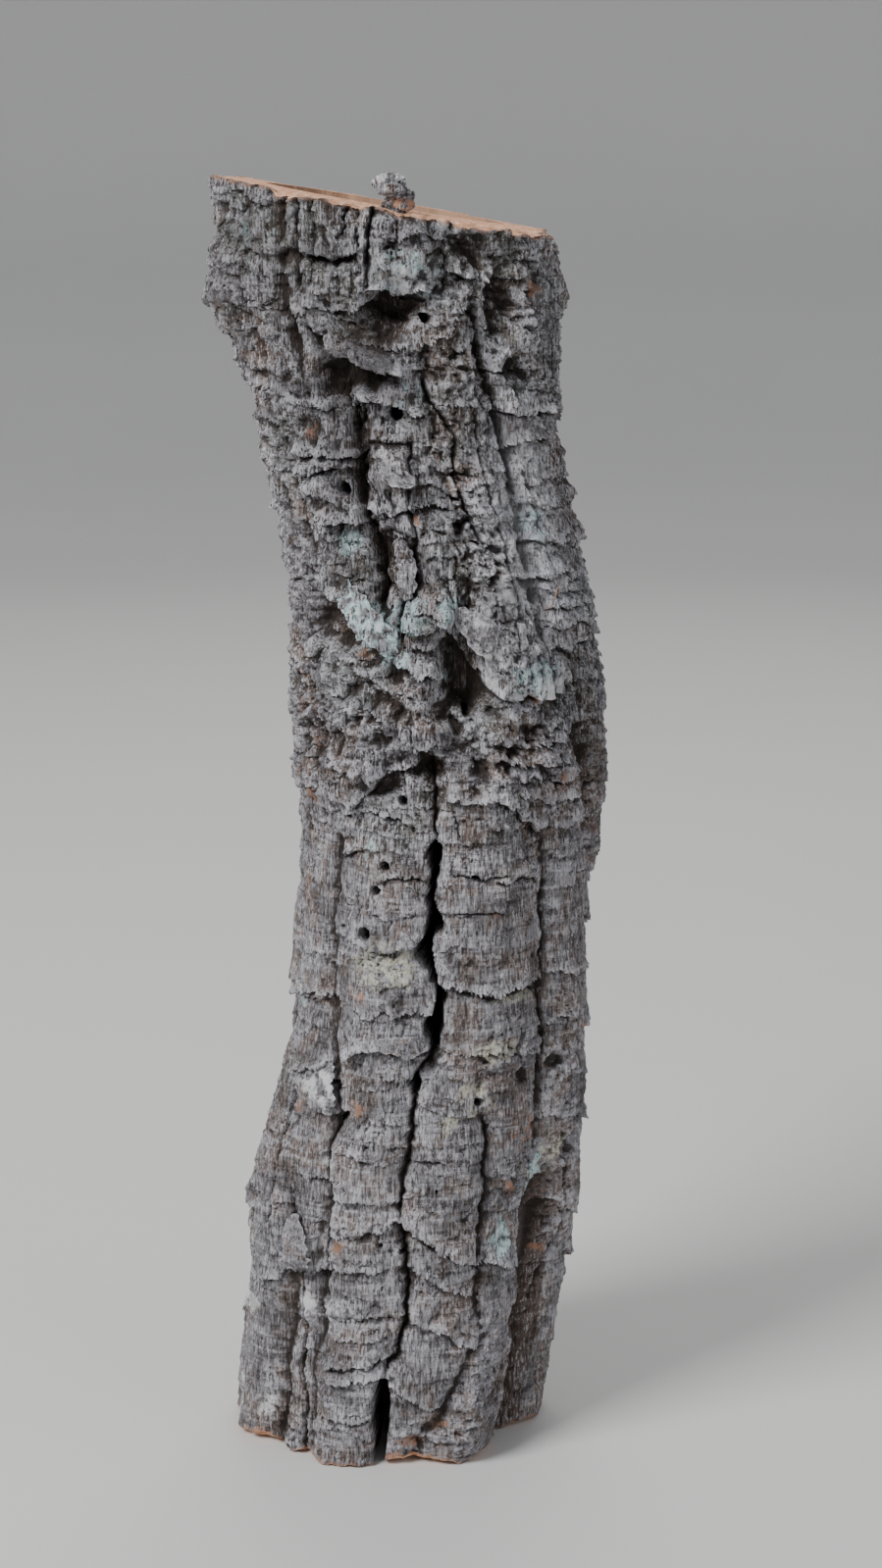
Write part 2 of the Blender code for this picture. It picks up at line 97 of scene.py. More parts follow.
# narrow dark cracks along the grain and the joints between scabs
cracks = paths([
    ([(-6, 345), (-6, 321), (-5, 309)], 0.9, 3), ([(-5, 292), (-6, 281)], 1.2, 7),
    ([(-3, 246), (-1, 238)], 1.2, 7),
    ([(-2, 210), (-8, 195), (-6, 160), (-5, 125), (-2, 105), (-1, 71), (-5, 43), (-3, 0)], 0.9, 3.4),
    ([(-36, 178), (-35, 160), (-33, 140), (-29, 112), (-29, 85)], 0.9, 4),
    ([(-45, 95), (-37, 61), (-33, 18), (-33, 0)], 0.9, 4), ([(19, 169), (21, 137), (21, 100)], 0.8, 2.4),
    ([(-21, 522), (-20, 500), (-19, 482), (-21, 457)], 1.2, 6), ([(-21, 452), (-23, 415)], 1.4, 7),
    ([(1, 484), (-3, 456), (-5, 444), (-11, 414)], 1, 4), ([(-4, 600), (-4, 586), (-5, 556)], 1.1, 6),
    ([(-30, 620), (-30, 556)], 1.6, 5), ([(-14, 418), (-15, 400)], 1.6, 7),
    ([(9, 510), (17, 483), (17, 465), (20, 440)], 0.9, 4),
    ([(31, 530), (34, 505), (39, 484), (41, 462)], 1.2, 5), ([(25, 500), (28, 450), (29, 410)], 0.8, 3),
    ([(46, 470), (50, 430), (46, 392)], 0.8, 3), ([(57, 300), (62, 240), (64, 190)], 0.9, 4),
    ([(40, 283), (42, 240), (43, 190)], 0.8, 3), ([(-58, 180), (-60, 110)], 0.8, 3),
    ([(58, 150), (66, 110), (62, 70)], 1, 4),
])

# thin black splits across the grain: places, half height, depth
splits = paths([
    ([(4, 290), (12, 289), (19, 291)], 0.9, 4), ([(20, 286), (28, 287), (35, 285)], 0.8, 3.5),
    ([(-23, 287), (-8, 286)], 0.7, 2.2), ([(-48, 295), (-38, 297)], 0.7, 2),
    ([(-41, 314), (-30, 319), (-12, 313)], 0.7, 2.2), ([(-4, 274), (20, 271)], 0.7, 2),
    ([(-33, 204.5), (-20, 206), (-4, 208)], 0.8, 2.6), ([(-2, 240), (10, 234), (36, 234)], 0.9, 3),
    ([(-21, 457), (-3, 456.5)], 0.8, 3.5), ([(-21, 446.5), (-5, 447.5)], 0.8, 3),
    ([(-18, 484), (0, 486)], 0.7, 2.5), ([(-47, 503), (-20, 501.5)], 0.8, 3),
    ([(-44, 480), (-21, 480)], 0.8, 2.6), ([(-25, 567), (-12, 566)], 0.9, 3),
    ([(36, 496.5), (76, 496.5)], 0.9, 3), ([(40, 483.5), (74, 486)], 0.8, 2.6),
    ([(38, 440), (88, 432)], 0.7, 2.2), ([(37, 425), (80, 419)], 0.8, 2.6),
    ([(46, 416), (70, 415)], 0.6, 1.8), ([(46, 409), (84, 408)], 0.8, 2.6),
    ([(48, 401), (86, 399)], 0.8, 2.6), ([(46, 392), (88, 390)], 0.9, 3),
    ([(-31, 132.5), (-6, 137.5)], 0.7, 2), ([(-22, 42.5), (-5, 46)], 0.9, 3),
    ([(-28, 76.5), (-6, 77.5)], 0.6, 1.6), ([(-24, 49.5), (-5, 54.5)], 0.6, 1.6),
    ([(-20, 22.5), (-6, 25.5)], 0.7, 2), ([(-4, 122), (4, 114), (11, 107), (21, 102), (37, 95)], 0.9, 3),
    ([(-3, 41), (4, 36), (12, 29)], 0.8, 3), ([(46, 170), (66, 163)], 0.8, 2.5),
])

# full round lobes and raised strips: path, half width, height
ribs = paths([
    ([(-24, 320), (-26, 250), (-20, 180), (-18, 100), (-17, 0)], 20, 6),
    ([(18, 320), (18, 240), (14, 180), (9, 110), (10, 50)], 22, 5), ([(27, 50), (26, 0)], 16, 6),
    ([(-22, 541), (-18, 531), (-9, 525), (-1, 519)], 5.5, 8.5), ([(-66, 200), (-70, 110), (-64, 0)], 18, 4),
    ([(52, 300), (58, 200), (66, 120)], 14, 4), ([(22, 500), (27, 440), (26, 405)], 12, 3),
])

# growth steps that overhang what is below: places along the lip, how far it stands out, reach upwards
ledges = paths([
    # below the rim
    ([(-4, 553), (3, 552), (12, 554)], 7, 24), ([(-26, 568), (-11, 567)], 3, 12),
    ([(-25, 544), (-15, 544), (-5, 547)], 5, 16),
    ([(-24, 536), (-20, 529), (-15, 524), (-9, 519), (-2, 517)], 8.5, 7.5),
    ([(1, 528), (15, 532), (24, 544)], 3, 5), ([(-17, 500), (-12, 505), (-5, 504.5), (4, 501)], 5.5, 8),
    ([(-48, 509), (-40, 503), (-32, 504), (-23, 501), (-17, 505)], 6, 12),
    ([(-45, 481), (-20, 482)], 5.5, 12), ([(-45, 471), (-20, 477)], 4, 6),
    ([(-42, 452), (-22, 453)], 6, 14), ([(-21, 457), (-3, 458)], 5, 16), ([(-22, 445), (-5, 447)], 4, 6),
    ([(34, 518), (50, 518)], 3.5, 8), ([(36, 498), (77, 498)], 4.5, 12), ([(39, 485), (74, 487)], 4, 8),
    ([(22, 560), (50, 556)], 3, 10),
    # middle band
    ([(-42, 424), (-34, 407), (-25, 396), (-18, 386)], 7, 16), ([(-13, 404), (-4, 402), (1, 406)], 3, 10),
    ([(0, 407), (4, 403), (12, 386), (20, 374), (30, 374), (46, 371)], 8, 20),
    ([(21, 352), (44, 349)], 3.4, 6), ([(22, 344), (47, 339)], 3.4, 6), ([(25, 336), (48, 331)], 3.4, 6),
    ([(27, 327), (49, 322)], 3.4, 6), ([(0, 329), (8, 325), (16, 326), (25, 318), (33, 311)], 4.2, 11),
    ([(34, 313), (44, 310), (54, 312)], 3, 7),
    ([(-36, 320), (-29, 328), (-24, 336), (-19, 340), (-12, 343), (-8, 350), (-4, 352)], 4.2, 9),
    ([(-42, 314), (-27, 319), (-11, 313)], 2.2, 12), ([(38, 441), (90, 433)], 1.6, 7),
    ([(36, 427), (80, 420)], 2.2, 7), ([(46, 410), (84, 409)], 2.2, 6), ([(48, 402), (86, 400)], 2.6, 6),
    ([(46, 393), (60, 391), (88, 393)], 2.6, 9), ([(-84, 392), (-60, 380)], 3.2, 12),
    ([(-46, 372), (-22, 362)], 4, 10), ([(-14, 386), (0, 380)], 3.5, 8), ([(-48, 341), (-30, 338)], 4, 10),
    # lower lobes
    ([(4, 290), (18, 290)], 2.2, 10), ([(20, 286), (36, 285)], 2.2, 10), ([(-2, 274), (20, 271)], 1.4, 10),
    ([(-2, 241), (10, 237.5), (20, 236.5), (38, 238.5)], 3.6, 20), ([(-49, 295), (-38, 297)], 2.2, 10),
    ([(-23, 287), (-8, 286)], 2, 10), ([(-17, 255), (-6, 258)], 3, 10), ([(-28, 224), (-3, 226)], 3, 14),
    ([(-33, 206), (-20, 208), (-4, 210)], 5.2, 14), ([(-18, 193), (-5, 193)], 2.2, 8),
    ([(-32, 134), (-18, 135), (-5, 139)], 3.2, 20), ([(-30, 115), (-5, 124)], 2.2, 10),
    ([(-29, 99), (-2, 103)], 2.4, 12), ([(-28, 77), (-4, 78)], 2.2, 14), ([(-26, 64), (-4, 66)], 1.4, 8),
    ([(-24, 51), (-5, 56)], 2.4, 10), ([(-22, 44), (-5, 48)], 4.2, 10), ([(-22, 23), (-5, 26)], 2.4, 10),
    ([(-4, 124), (4, 116), (11, 109), (21, 104), (38, 97)], 5.2, 22),
    ([(0, 101), (12, 91), (20, 88)], 2.6, 10), ([(3, 74), (14, 68), (23, 60)], 2.4, 12),
    ([(-3, 43), (4, 38), (12, 31)], 4.2, 12), ([(-7, 155), (5, 154)], 1.2, 8),
    ([(0, 208), (36, 204)], 1.6, 10), ([(-4, 180), (16, 176)], 1.4, 10), ([(-46, 173), (-35, 175)], 4, 10),
    ([(-45, 95), (-31, 99)], 5, 14), ([(-59, 83), (-46, 94)], 3.4, 14), ([(-44, 140), (-33, 142)], 2, 10),
    ([(-62, 226), (-44, 230)], 2.4, 12), ([(-60, 190), (-46, 196)], 2.4, 12),
    # sides
    ([(64, 284), (80, 281), (104, 279)], 3, 14), ([(-96, 545), (-66, 525)], 2.8, 18),
    ([(-100, 328), (-80, 321), (-62, 324)], 2.4, 14), ([(66, 196), (104, 200)], 2.2, 12),
    ([(58, 124), (74, 112), (92, 114)], 2.8, 14), ([(42, 448), (64, 455)], 1.8, 8),
    ([(46, 240), (72, 236)], 2.6, 10), ([(46, 170), (74, 160)], 3, 11), ([(44, 214), (66, 218)], 2.2, 10),
])
backLedges = spots([
    (112, 520), (110, 430), (116, 350), (104, 250), (140, 270), (142, 180), (138, 70), (160, 560),
    (162, 460), (182, 230), (180, 130), (184, 50), (204, 540), (206, 440), (204, 400), (224, 250),
    (226, 150), (222, 60), (248, 560), (250, 450), (248, 350), (264, 220), (262, 110), (160, 350),
    (104, 80),
], 1)

# hollows torn into the bark: degrees, height, half width, half height, depth
hollows = spots([
    (4, 546, 13, 7, 13), (-1, 536, 10, 11, 7), (-25, 533, 7, 7, 7), (-23, 514, 8, 12, 15),
    (-10, 512.5, 12, 4.5, 9), (31, 568, 10, 8, 7), (41, 546, 9, 15, 9), (46, 515, 11, 9, 6),
    (-40, 489, 10, 9, 7), (-69, 458, 11, 11, 8), (-13, 432, 12, 17, 10), (-46, 402, 18, 12, 12),
    (7, 384, 12, 18, 16), (-22, 367, 10, 7, 7), (-61, 346, 14, 13, 7), (-42, 350, 12, 9, 5),
    (58, 345, 12, 12, 6), (-12, 341, 14, 7, 8), (-23, 332, 10, 5, 5), (50, 104, 11, 14, 10),
    (46, 64, 9, 9, 6), (112, 470, 14, 14, 9), (168, 505, 13, 12, 9), (206, 480, 12, 11, 7),
    (246, 400, 14, 14, 9), (142, 225, 13, 14, 8), (224, 200, 13, 13, 8), (184, 285, 13, 12, 9),
], 4)

# plates and knobs standing proud: degrees, height, half width, half height, how proud
knobs = spots([
    (3, 572, 15, 15, 6), (-6, 474, 10, 10, 6), (14, 540, 10, 11, 4), (-38, 464, 10, 6, 4),
    (-33, 512, 12, 7, 3), (-15, 556, 10, 8, 4), (-3, 410, 14, 12, 3), (25, 390, 18, 12, 5),
    (-70, 556, 20, 20, 4), (-10, 508, 12, 7, 5), (78, 345, 18, 30, 3), (12, 330, 18, 14, 4),
    (48, 535, 10, 9, 5), (-51, 396, 10, 8, 4), (-36, 360, 9, 10, 5), (-14, 372, 11, 7, 5),
    (-30, 342, 10, 9, 3), (-7, 361, 7, 9, 4), (16, 352, 9, 9, 4), (-44, 330, 10, 10, 3),
    (28, 364, 12, 6, 3), (-64, 410, 12, 12, 4), (-52, 185, 10, 12, 3), (74, 186, 12, 14, 4),
    (30, 20, 16, 16, 4),
], 4)

# small dark pits: degrees, height, half width, half height, depth
pits = spots([
    (-24, 352, 6, 5, 5), (-42, 372, 7, 5, 5), (-18, 356, 4, 4, 4), (-33, 376, 8, 4, 4), (8, 371, 5, 4, 5),
    (19, 341, 4, 4, 4), (-26, 567, 10, 3, 4), (-9, 515, 9, 6, 5), (29, 542, 4, 4, 6), (44, 517, 9, 4, 5),
    (-1, 366, 6, 5, 7), (4, 360, 4, 4, 6), (-59, 368, 6, 5, 6), (12, 340, 5, 8, 5), (-30, 389, 6, 5, 5),
    (-33, 360, 5, 4, 4), (-35, 172, 4, 3, 4), (58, 116, 6, 7, 8), (-46, 300, 5, 6, 4), (30, 355, 6, 4, 5),
    (38, 336, 6, 4, 5), (52, 372, 5, 4, 4), (20, 352, 4, 4, 4), (50, 195, 5, 4, 4), (62, 150, 6, 6, 5),
    (70, 230, 5, 5, 4), (34, 190, 4, 4, 4),
], 4)

# round holes bored by beetles: degrees, height, diameter
borings = spots([
    (12, 540, 5.2), (-3, 499, 6.6), (-27, 465, 7), (-16, 325, 4), (-23, 294, 5), (-26, 282, 5),
    (-29, 261, 7), (16, 182, 4.6), (8, 365, 5), (-11, 113, 2.6), (-4, 110, 3), (-40, 262, 2.2),
    (35, 250, 2), (-56, 180, 2.8), (5, 140, 1.6), (-20, 160, 1.6), (30, 472, 2.2), (44, 452, 2.2),
    (62, 470, 2), (118, 300, 5), (150, 410, 4.5), (176, 180, 5), (212, 330, 6), (236, 500, 4.5),
    (258, 260, 5), (196, 560, 4), (130, 110, 4.5), (274, 140, 4),
], 2)

# the open slit, the joint below it and the gap in the base: degrees, height, width
slit = {
    "gap": [(-6, 306, 1), (-6, 303, 5), (-6.5, 299, 7), (-6, 295, 4.5), (-5.5, 291, 2), (-6, 286, 2),
            (-6, 282, 1), (-6, 279, 3.5), (-5, 275, 3.5), (-4, 270, 6), (-3.5, 265, 9), (-3.5, 263, 7.5),
            (-5.5, 261, 3.5), (-7.5, 256, 8), (-7, 251, 9), (-5, 248, 5), (-3.5, 245, 2), (-2.5, 241, 3),
            (-1, 239, 2), (0.5, 235, 5), (0.5, 231, 5), (-1, 228, 3.5), (-1.5, 224, 5.5), (-3, 220, 9),
            (-3, 215, 7.5), (-2, 211, 3.5), (-1.5, 208, 1)],
    "small": [(-8, 196, 1), (-8, 192, 6.2), (-7, 187, 1)],
    "base": [(-5, 47, 1), (-5, 36, 6), (-4, 20, 7), (-3, 8, 3.6), (-3, -20, 3.6)],
}

# rounded scabs with hollows between them: degrees, height, half width, half height, amount
scabs = spots([
    (-36, 362, 40, 30, 1), (12, 348, 26, 18, 0.7), (-66, 360, 30, 50, 0.9), (44, 552, 26, 36, 0.8),
    (-58, 520, 30, 60, 0.35), (-8, 560, 50, 24, 0.15), (-30, 450, 30, 40, 0.2), (62, 510, 26, 40, 0.45),
    (150, 480, 60, 70, 0.7), (220, 520, 60, 60, 0.6), (190, 300, 50, 50, 0.6), (250, 350, 50, 60, 0.8),
], 3)

# darker (+) and lighter (-) parts, partly the bark's own tone and partly painted shade and painted light,
# such as the darker right side: degrees, height, half width, half height, amount
dims = spots([
    (-52, 565, 34, 44, 0.82), (-22, 520, 28, 70, 0.6), (-30, 450, 30, 50, 0.12), (4, 500, 30, 60, 0.16),
    (45, 440, 30, 60, -1.5), (-14, 260, 20, 40, 0.18), (72, 300, 26, 300, 0.34), (-75, 400, 30, 80, 0.16),
    (22, 140, 22, 80, 0.36), (-20, 130, 24, 100, -0.12), (-44, 120, 20, 70, 0.4), (48, 110, 24, 60, -0.3),
    (14, 265, 20, 40, 0.2), (-2, 20, 60, 30, 0.1),
], 3)

# where the bark is crusty (+) or smooth (-): degrees, height, half width, half height, amount
crusts = spots([
    (-32, 362, 34, 34, 0.02), (14, 352, 22, 24, 0.3), (34, 340, 24, 30, 0.35), (-66, 350, 26, 50, 0.4),
    (42, 552, 22, 30, 0.6), (16, 520, 22, 16, 0.3), (18, 455, 10, 45, 0.6), (26, 425, 12, 30, 0.4),
    (58, 440, 24, 40, -0.4), (68, 318, 14, 34, 0.55), (70, 362, 20, 22, -0.4), (56, 160, 14, 80, 0.45),
    (80, 110, 30, 80, 0.3), (40, 140, 8, 50, 0.45), (-22, 246, 14, 14, 0.5), (20, 205, 20, 14, 0.55),
    (24, 26, 20, 26, 0.45), (32, 60, 10, 26, 0.3), (-20, 140, 30, 80, -0.2), (-14, 465, 14, 40, -0.25),
    (-32, 500, 16, 60, -0.15), (-58, 480, 16, 60, 0.35), (-64, 570, 22, 30, 0.2), (130, 450, 60, 80, 0.35),
    (220, 380, 70, 70, 0.45), (180, 520, 50, 50, 0.25), (240, 120, 50, 80, 0.1),
], 3)

# lichen and bare cork: kind -> (degrees, height, half width, half height, strength)
stains = {
    "mint": [
        (-31, 441, 8, 7, 1), (-12, 409, 10, 10, 0.95), (-27, 403, 14, 12, 1), (-20, 392, 9, 9, 1),
        (4, 413, 9, 8, 0.55), (32, 382, 14, 7, 1), (45, 448, 9, 9, 0.8), (30, 112, 6, 10, 1),
        (-30, 303, 22, 10, 0.35), (-64, 232, 8, 30, 0.35), (8, 560, 22, 16, 0.45), (2, 505, 12, 10, 0.5),
        (-52, 575, 16, 18, 0.45), (2, 385, 10, 16, 0.35), (8, 480, 12, 12, 0.3), (46, 138, 6, 12, 0.9),
        (150, 420, 20, 16, 0.8), (205, 520, 24, 18, 0.7), (236, 300, 18, 16, 0.7), (120, 240, 14, 16, 0.6),
        (180, 110, 16, 14, 0.5), (-50, 420, 12, 18, 0.3), (96, 500, 14, 16, 0.5), (26, 530, 18, 14, 0.3),
    ],
    "cream": [
        (-20, 247, 16, 12, 1), (20, 207, 12, 6, 1), (12, 187, 8, 6, 0.9), (6, 172, 5, 6, 0.9),
        (52, 150, 8, 10, 0.7), (44, 140, 6, 8, 0.6), (28, 231, 16, 3, 0.8), (2, 500, 10, 6, 0.5),
        (16, 180, 12, 12, 0.5), (170, 260, 16, 12, 0.9), (214, 140, 14, 12, 0.8), (130, 520, 14, 12, 0.6),
        (252, 180, 12, 12, 0.7), (14, 380, 10, 6, 0.3),
    ],
    "white": [
        (-68, 67, 10, 7, 0.9), (-38, 78, 7, 8, 0.9), (-38, 107, 6, 6, 0.9), (-72, 20, 12, 14, 0.7),
        (-52, 22, 6, 12, 0.7), (-50, 182, 7, 6, 0.8), (-34, 150, 5, 10, 0.5), (36, 376, 10, 6, 0.8),
        (4, 558, 10, 6, 0.7), (-30, 545, 12, 7, 0.5), (-24, 520, 10, 6, 0.4), (-31, 130, 5, 6, 0.6),
        (150, 60, 14, 12, 0.6), (200, 300, 10, 12, 0.5), (270, 60, 12, 14, 0.7),
    ],
    "orange": [
        (-63, 320, 4, 6, 0.9), (-4, 340, 3, 3, 0.8), (34, 371, 6, 4, 0.8), (-67, 278, 4, 4, 1),
        (-26, 178, 4, 5, 0.8), (-54, 172, 2, 4, 0.9), (40, 165, 4, 6, 0.8), (32, 137, 3, 4, 0.8),
        (-25, 110, 3, 4, 0.8), (86, 200, 5, 4, 0.8), (18, 272, 3, 2, 0.7), (-30, 231, 6, 3, 0.7),
        (16, 22, 4, 3, 1), (8, 12, 6, 4, 1), (2, 4, 6, 4, 1), (44, 62, 4, 4, 0.8), (-37, 590, 4, 12, 0.8),
        (56, 551, 5, 5, 0.8), (-40, 489, 6, 5, 0.6), (-66, 458, 5, 5, 0.5), (-30, 391, 6, 4, 0.6),
        (-61, 345, 7, 6, 0.4), (40, 345, 10, 8, 0.3), (44, 330, 10, 10, 0.35), (-2, 452, 2, 2, 0.9),
        (54, 130, 6, 10, 0.4), (60, 95, 4, 4, 0.7), (34, 160, 8, 10, 0.35), (160, 330, 6, 6, 0.7),
        (214, 230, 4, 6, 0.8), (240, 420, 8, 8, 0.5), (120, 150, 5, 6, 0.7), (190, 440, 5, 5, 0.7),
    ],
}

# broken edges of the two cuts: degrees, half width, how much is chipped away
chips = {
    "top": [(-38, 7, 3.5), (-30, 5, 1.5), (-12, 8, 2), (10, 10, 1.6), (30, 12, 2.4), (52, 12, 2),
            (80, 14, 2), (130, 16, 3), (175, 12, 2), (215, 18, 3.5), (262, 12, 2.5)],
    "base": [(-66, 10, 3), (-52, 10, 4.5), (-30, 8, 1.5), (6, 9, 4), (16, 8, 3), (40, 12, 3.5),
             (70, 10, 2), (110, 14, 3), (165, 12, 3.5), (210, 12, 2.5), (250, 14, 3.5)],
}

# loose-edged flakes of the same bark: path of (degrees, height, outward), half widths, thickness, lift
# of the free edge, curl of both edges outwards
flakes = {
    "rim_stem": {"path": [(3, 575, -8), (3, 583, -6), (4, 588, -6), (4, 592, -8)],
        "widths": [4, 5.6, 5.8, 4], "thick": 10, "lift": 0, "curl": 0, "tint": "dark"},
    "rim_layer": {"path": [(1, 590, -6), (6, 589.5, -2), (11, 587.5, -5)],
        "widths": [2, 3.6, 2], "thick": 2.2, "lift": 1, "curl": 0, "tint": "orange"},
    "rim_middle": {"path": [(-2, 594, -7), (4, 594.5, -1), (11, 591.5, -4)],
        "widths": [1.8, 3, 2], "thick": 3.6, "lift": 1, "curl": 0, "tint": "plain"},
    "rim_top": {"path": [(-4, 596.5, -9), (2, 598.5, -2), (8, 597, -5)],
        "widths": [1.8, 3.4, 2.4], "thick": 3.6, "lift": 1, "curl": 0, "tint": "white"},
    "curled_flap": {"path": [(-11, 485, 2), (-7, 478.5, 7), (-4, 472.5, 8), (1, 469, 6)],
        "widths": [2, 4.2, 4.6, 2.2], "thick": 1.4, "lift": 2.2, "curl": 2.4, "tint": "silver"},
    "recess_curl": {"path": [(-12, 443, -4), (-10, 433, -1), (-12, 422, -2), (-14, 415, -5)],
        "widths": [3, 4.8, 4.8, 2], "thick": 1.8, "lift": 2, "curl": -2, "tint": "plain"},
    "lichen_flake": {
        "path": [(-38, 423.5, -1), (-32, 416.5, 5), (-26, 408.5, 7), (-20, 398.5, 5), (-18, 390, 0)],
        "widths": [3, 6, 7, 5.8, 2.2], "thick": 1.8, "lift": 3, "curl": 1.2, "tint": "mint"},
    "cave_plate": {
        "path": [(5, 412, 0), (11, 405, 4), (18, 394, 6), (26, 384.5, 6), (34, 382, 3), (40, 383, -2)],
        "widths": [3, 6.8, 8.4, 8, 5.6, 2.5], "thick": 2, "lift": 3, "curl": 1, "tint": "crumbly"},
    "low_left_plate": {"path": [(-46, 120, 2), (-41, 110, 7), (-39, 102, 9), (-38, 96.5, 7)],
        "widths": [4, 6.2, 6.6, 5], "thick": 1.6, "lift": 1, "curl": 0, "tint": "plain"},
    "low_left_chip": {"path": [(-45, 195, 0), (-42, 186, 5), (-40, 179, 6), (-40, 174.5, 4)],
        "widths": [2.8, 5.2, 5.6, 4], "thick": 1.6, "lift": 1, "curl": 0, "tint": "white"},
    "needle": {"path": [(47, 423.5, 4), (45, 419, 6), (43, 414, 6), (41, 410, 4)],
        "widths": [0.2, 0.4, 0.4, 0.2], "thick": 0.7, "lift": 0, "curl": 0, "tint": "orange"},
    "slit_lip": {"path": [(-24, 210, 6), (-16, 211.5, 11), (-9, 212, 10), (-5, 213, 4)],
        "widths": [2, 4, 4.4, 2.4], "thick": 1.4, "lift": 1, "curl": 0, "tint": "plain"},
}


# numbers and noise

def smoothBetween(at, places, values):
    slopes = np.gradient(values, places)
    at = np.clip(at, places[0], places[-1])
    left = np.clip(np.searchsorted(places, at) - 1, 0, len(places) - 2)
    span = places[left + 1] - places[left]
    t = (at - places[left]) / span
    return ((2 * t**3 - 3 * t**2 + 1) * values[left] + (t**3 - 2 * t**2 + t) * span * slopes[left]
            + (3 * t**2 - 2 * t**3) * values[left + 1] + (t**3 - t**2) * span * slopes[left + 1])


def packed(*values):  # side by side on a last axis
    return np.stack(np.broadcast_arrays(*values), axis=-1)


def section(height):
    left, right, front, back = (smoothBetween(height, sections[:, 0], sections[:, k]) for k in range(1, 5))
    return (left + right) / 2, (right - left) / 2, front, back


def onSection(angle, height, outward):
    centre, halfWidth, front, back = section(height)
    depth = np.where(np.cos(angle) > 0, front, back)
    x, y = centre + (halfWidth + outward) * np.sin(angle), -(depth + outward) * np.cos(angle)
    return packed(x, y, height)


def topAt(x):  # height of the sloping cut
    return branch["topAtAxis"] + branch["topSlope"] * x


def step(low, high, value):
    t = np.clip((value - low) / (high - low), 0, 1)
    return t * t * (3 - 2 * t)


def hashed(i, j, seed):  # the same number for the same cell, 0 to 1
    n = (i.astype(np.int64) * 374761393 + j.astype(np.int64) * 668265263 + seed * 362437) & 0xFFFFFFFF
    n = ((n ^ (n >> 13)) * 1274126177) & 0xFFFFFFFF
    n = ((n ^ (n >> 15)) * 2246822519) & 0xFFFFFFFF
    return ((n ^ (n >> 16)) & 0xFFFFF) / 0xFFFFF


def cells(turn, height, size, stretch):  # grid that closes round the branch: cells around, place in it
    around = max(4, round(girth / size))
    return around, turn / girth * around, height / (size * stretch)


def waves(turn, height, size, seed, stretch=1.0):  # smooth noise from -1 to 1
    around, x, y = cells(turn, height, size, stretch)
    i, j = np.floor(x), np.floor(y)
    fx, fy = x - i, y - j
    total = 0
    for di in (0, 1):
        for dj in (0, 1):
            spin = hashed((i + di) % around, j + dj, seed) * 2 * math.pi
            wx, wy = 1 - np.abs(fx - di), 1 - np.abs(fy - dj)
            weight = wx**3 * (wx * (wx * 6 - 15) + 10) * wy**3 * (wy * (wy * 6 - 15) + 10)
            total = total + weight * (np.cos(spin) * (fx - di) + np.sin(spin) * (fy - dj))
    return total * 1.5


def rough(turn, height, size, seed, octaves=4, stretch=1.0, gain=0.5):
    return sum(gain**k * waves(turn, height, size / 2**k, seed + 17 * k, stretch) for k in range(octaves))


def ridged(turn, height, size, seed, octaves, stretch):  # sharp crests with round hollows between them
    return sum(0.5**k * (1 - 3.2 * np.abs(waves(turn, height, size / 2**k, seed + 17 * k, stretch)))
               for k in range(octaves))


def pebbles(turn, height, size, seed, stretch):  # nearest grain: distance, gap to the next, number, offset
    around, x, y = cells(turn, height, size, stretch)
    i, j = np.floor(x), np.floor(y)
    near = np.full(np.shape(x), 9.0)
    second = near.copy()
    number = np.zeros(np.shape(x))
    offset = np.zeros(np.shape(x))
    for di in (-1, 0, 1):
        for dj in (-1, 0, 1):
            ci, cj = (i + di) % around, j + dj
            px = i + di + 0.15 + 0.7 * hashed(ci, cj, seed)
            py = cj + 0.15 + 0.7 * hashed(ci, cj, seed + 1)
            away = np.hypot(x - px, y - py)
            closer = away < near
            second = np.where(closer, near, np.minimum(second, away))
            number = np.where(closer, hashed(ci, cj, seed + 2), number)
            offset = np.where(closer, y - py, offset)
            near = np.where(closer, away, near)
    return near, second - near, number, offset


def turnBetween(turn, degrees):  # way round from a place on the bark
    return (turn - math.radians(1) * degrees * branch["meanRadius"] + girth / 2) % girth - girth / 2


def alongPath(turn, height, path, halfWidth, sharp=2.0):  # 1 on a line along the branch, fading beside it
    points = np.array(sorted(path, key=lambda point: point[1]), float)
    aside = turnBetween(turn, np.interp(height, points[:, 1], points[:, 0]))
    if points[0, 0] > 90:  # the guessed back wanders
        swing = 2 * math.pi * height / branch["wanderPitch"] + points[0, 0]
        aside = aside + branch["wander"] * (np.sin(swing) + 0.6 * np.sin(2.7 * swing))
        aside = aside + 0.003 * rough(0 * turn + points[0, 0], height, 0.034, 131, 3, 1, 0.6)
    past = np.maximum(points[0, 1] - height, height - points[-1, 1]) / (2 * halfWidth)
    return np.exp(-(np.abs(aside / halfWidth) ** sharp)) * np.exp(-(np.maximum(past, 0) ** 2))


def acrossPath(turn, path):  # points round their middle, degrees from it, degrees beyond the ends
    points = np.array(path, float)
    middle = (points[0, 0] + points[-1, 0]) / 2
    across = turnBetween(turn, middle) / branch["meanRadius"] / math.radians(1)
    beyond = np.maximum(np.abs(across) - (points[-1, 0] - points[0, 0]) / 2, 0)
    return points - (middle, 0), across, beyond


ledgeShape = {"out": 1.1, "undercut": 0.75, "edge": 0.0026, "endFade": 3.0}  # metres and degrees


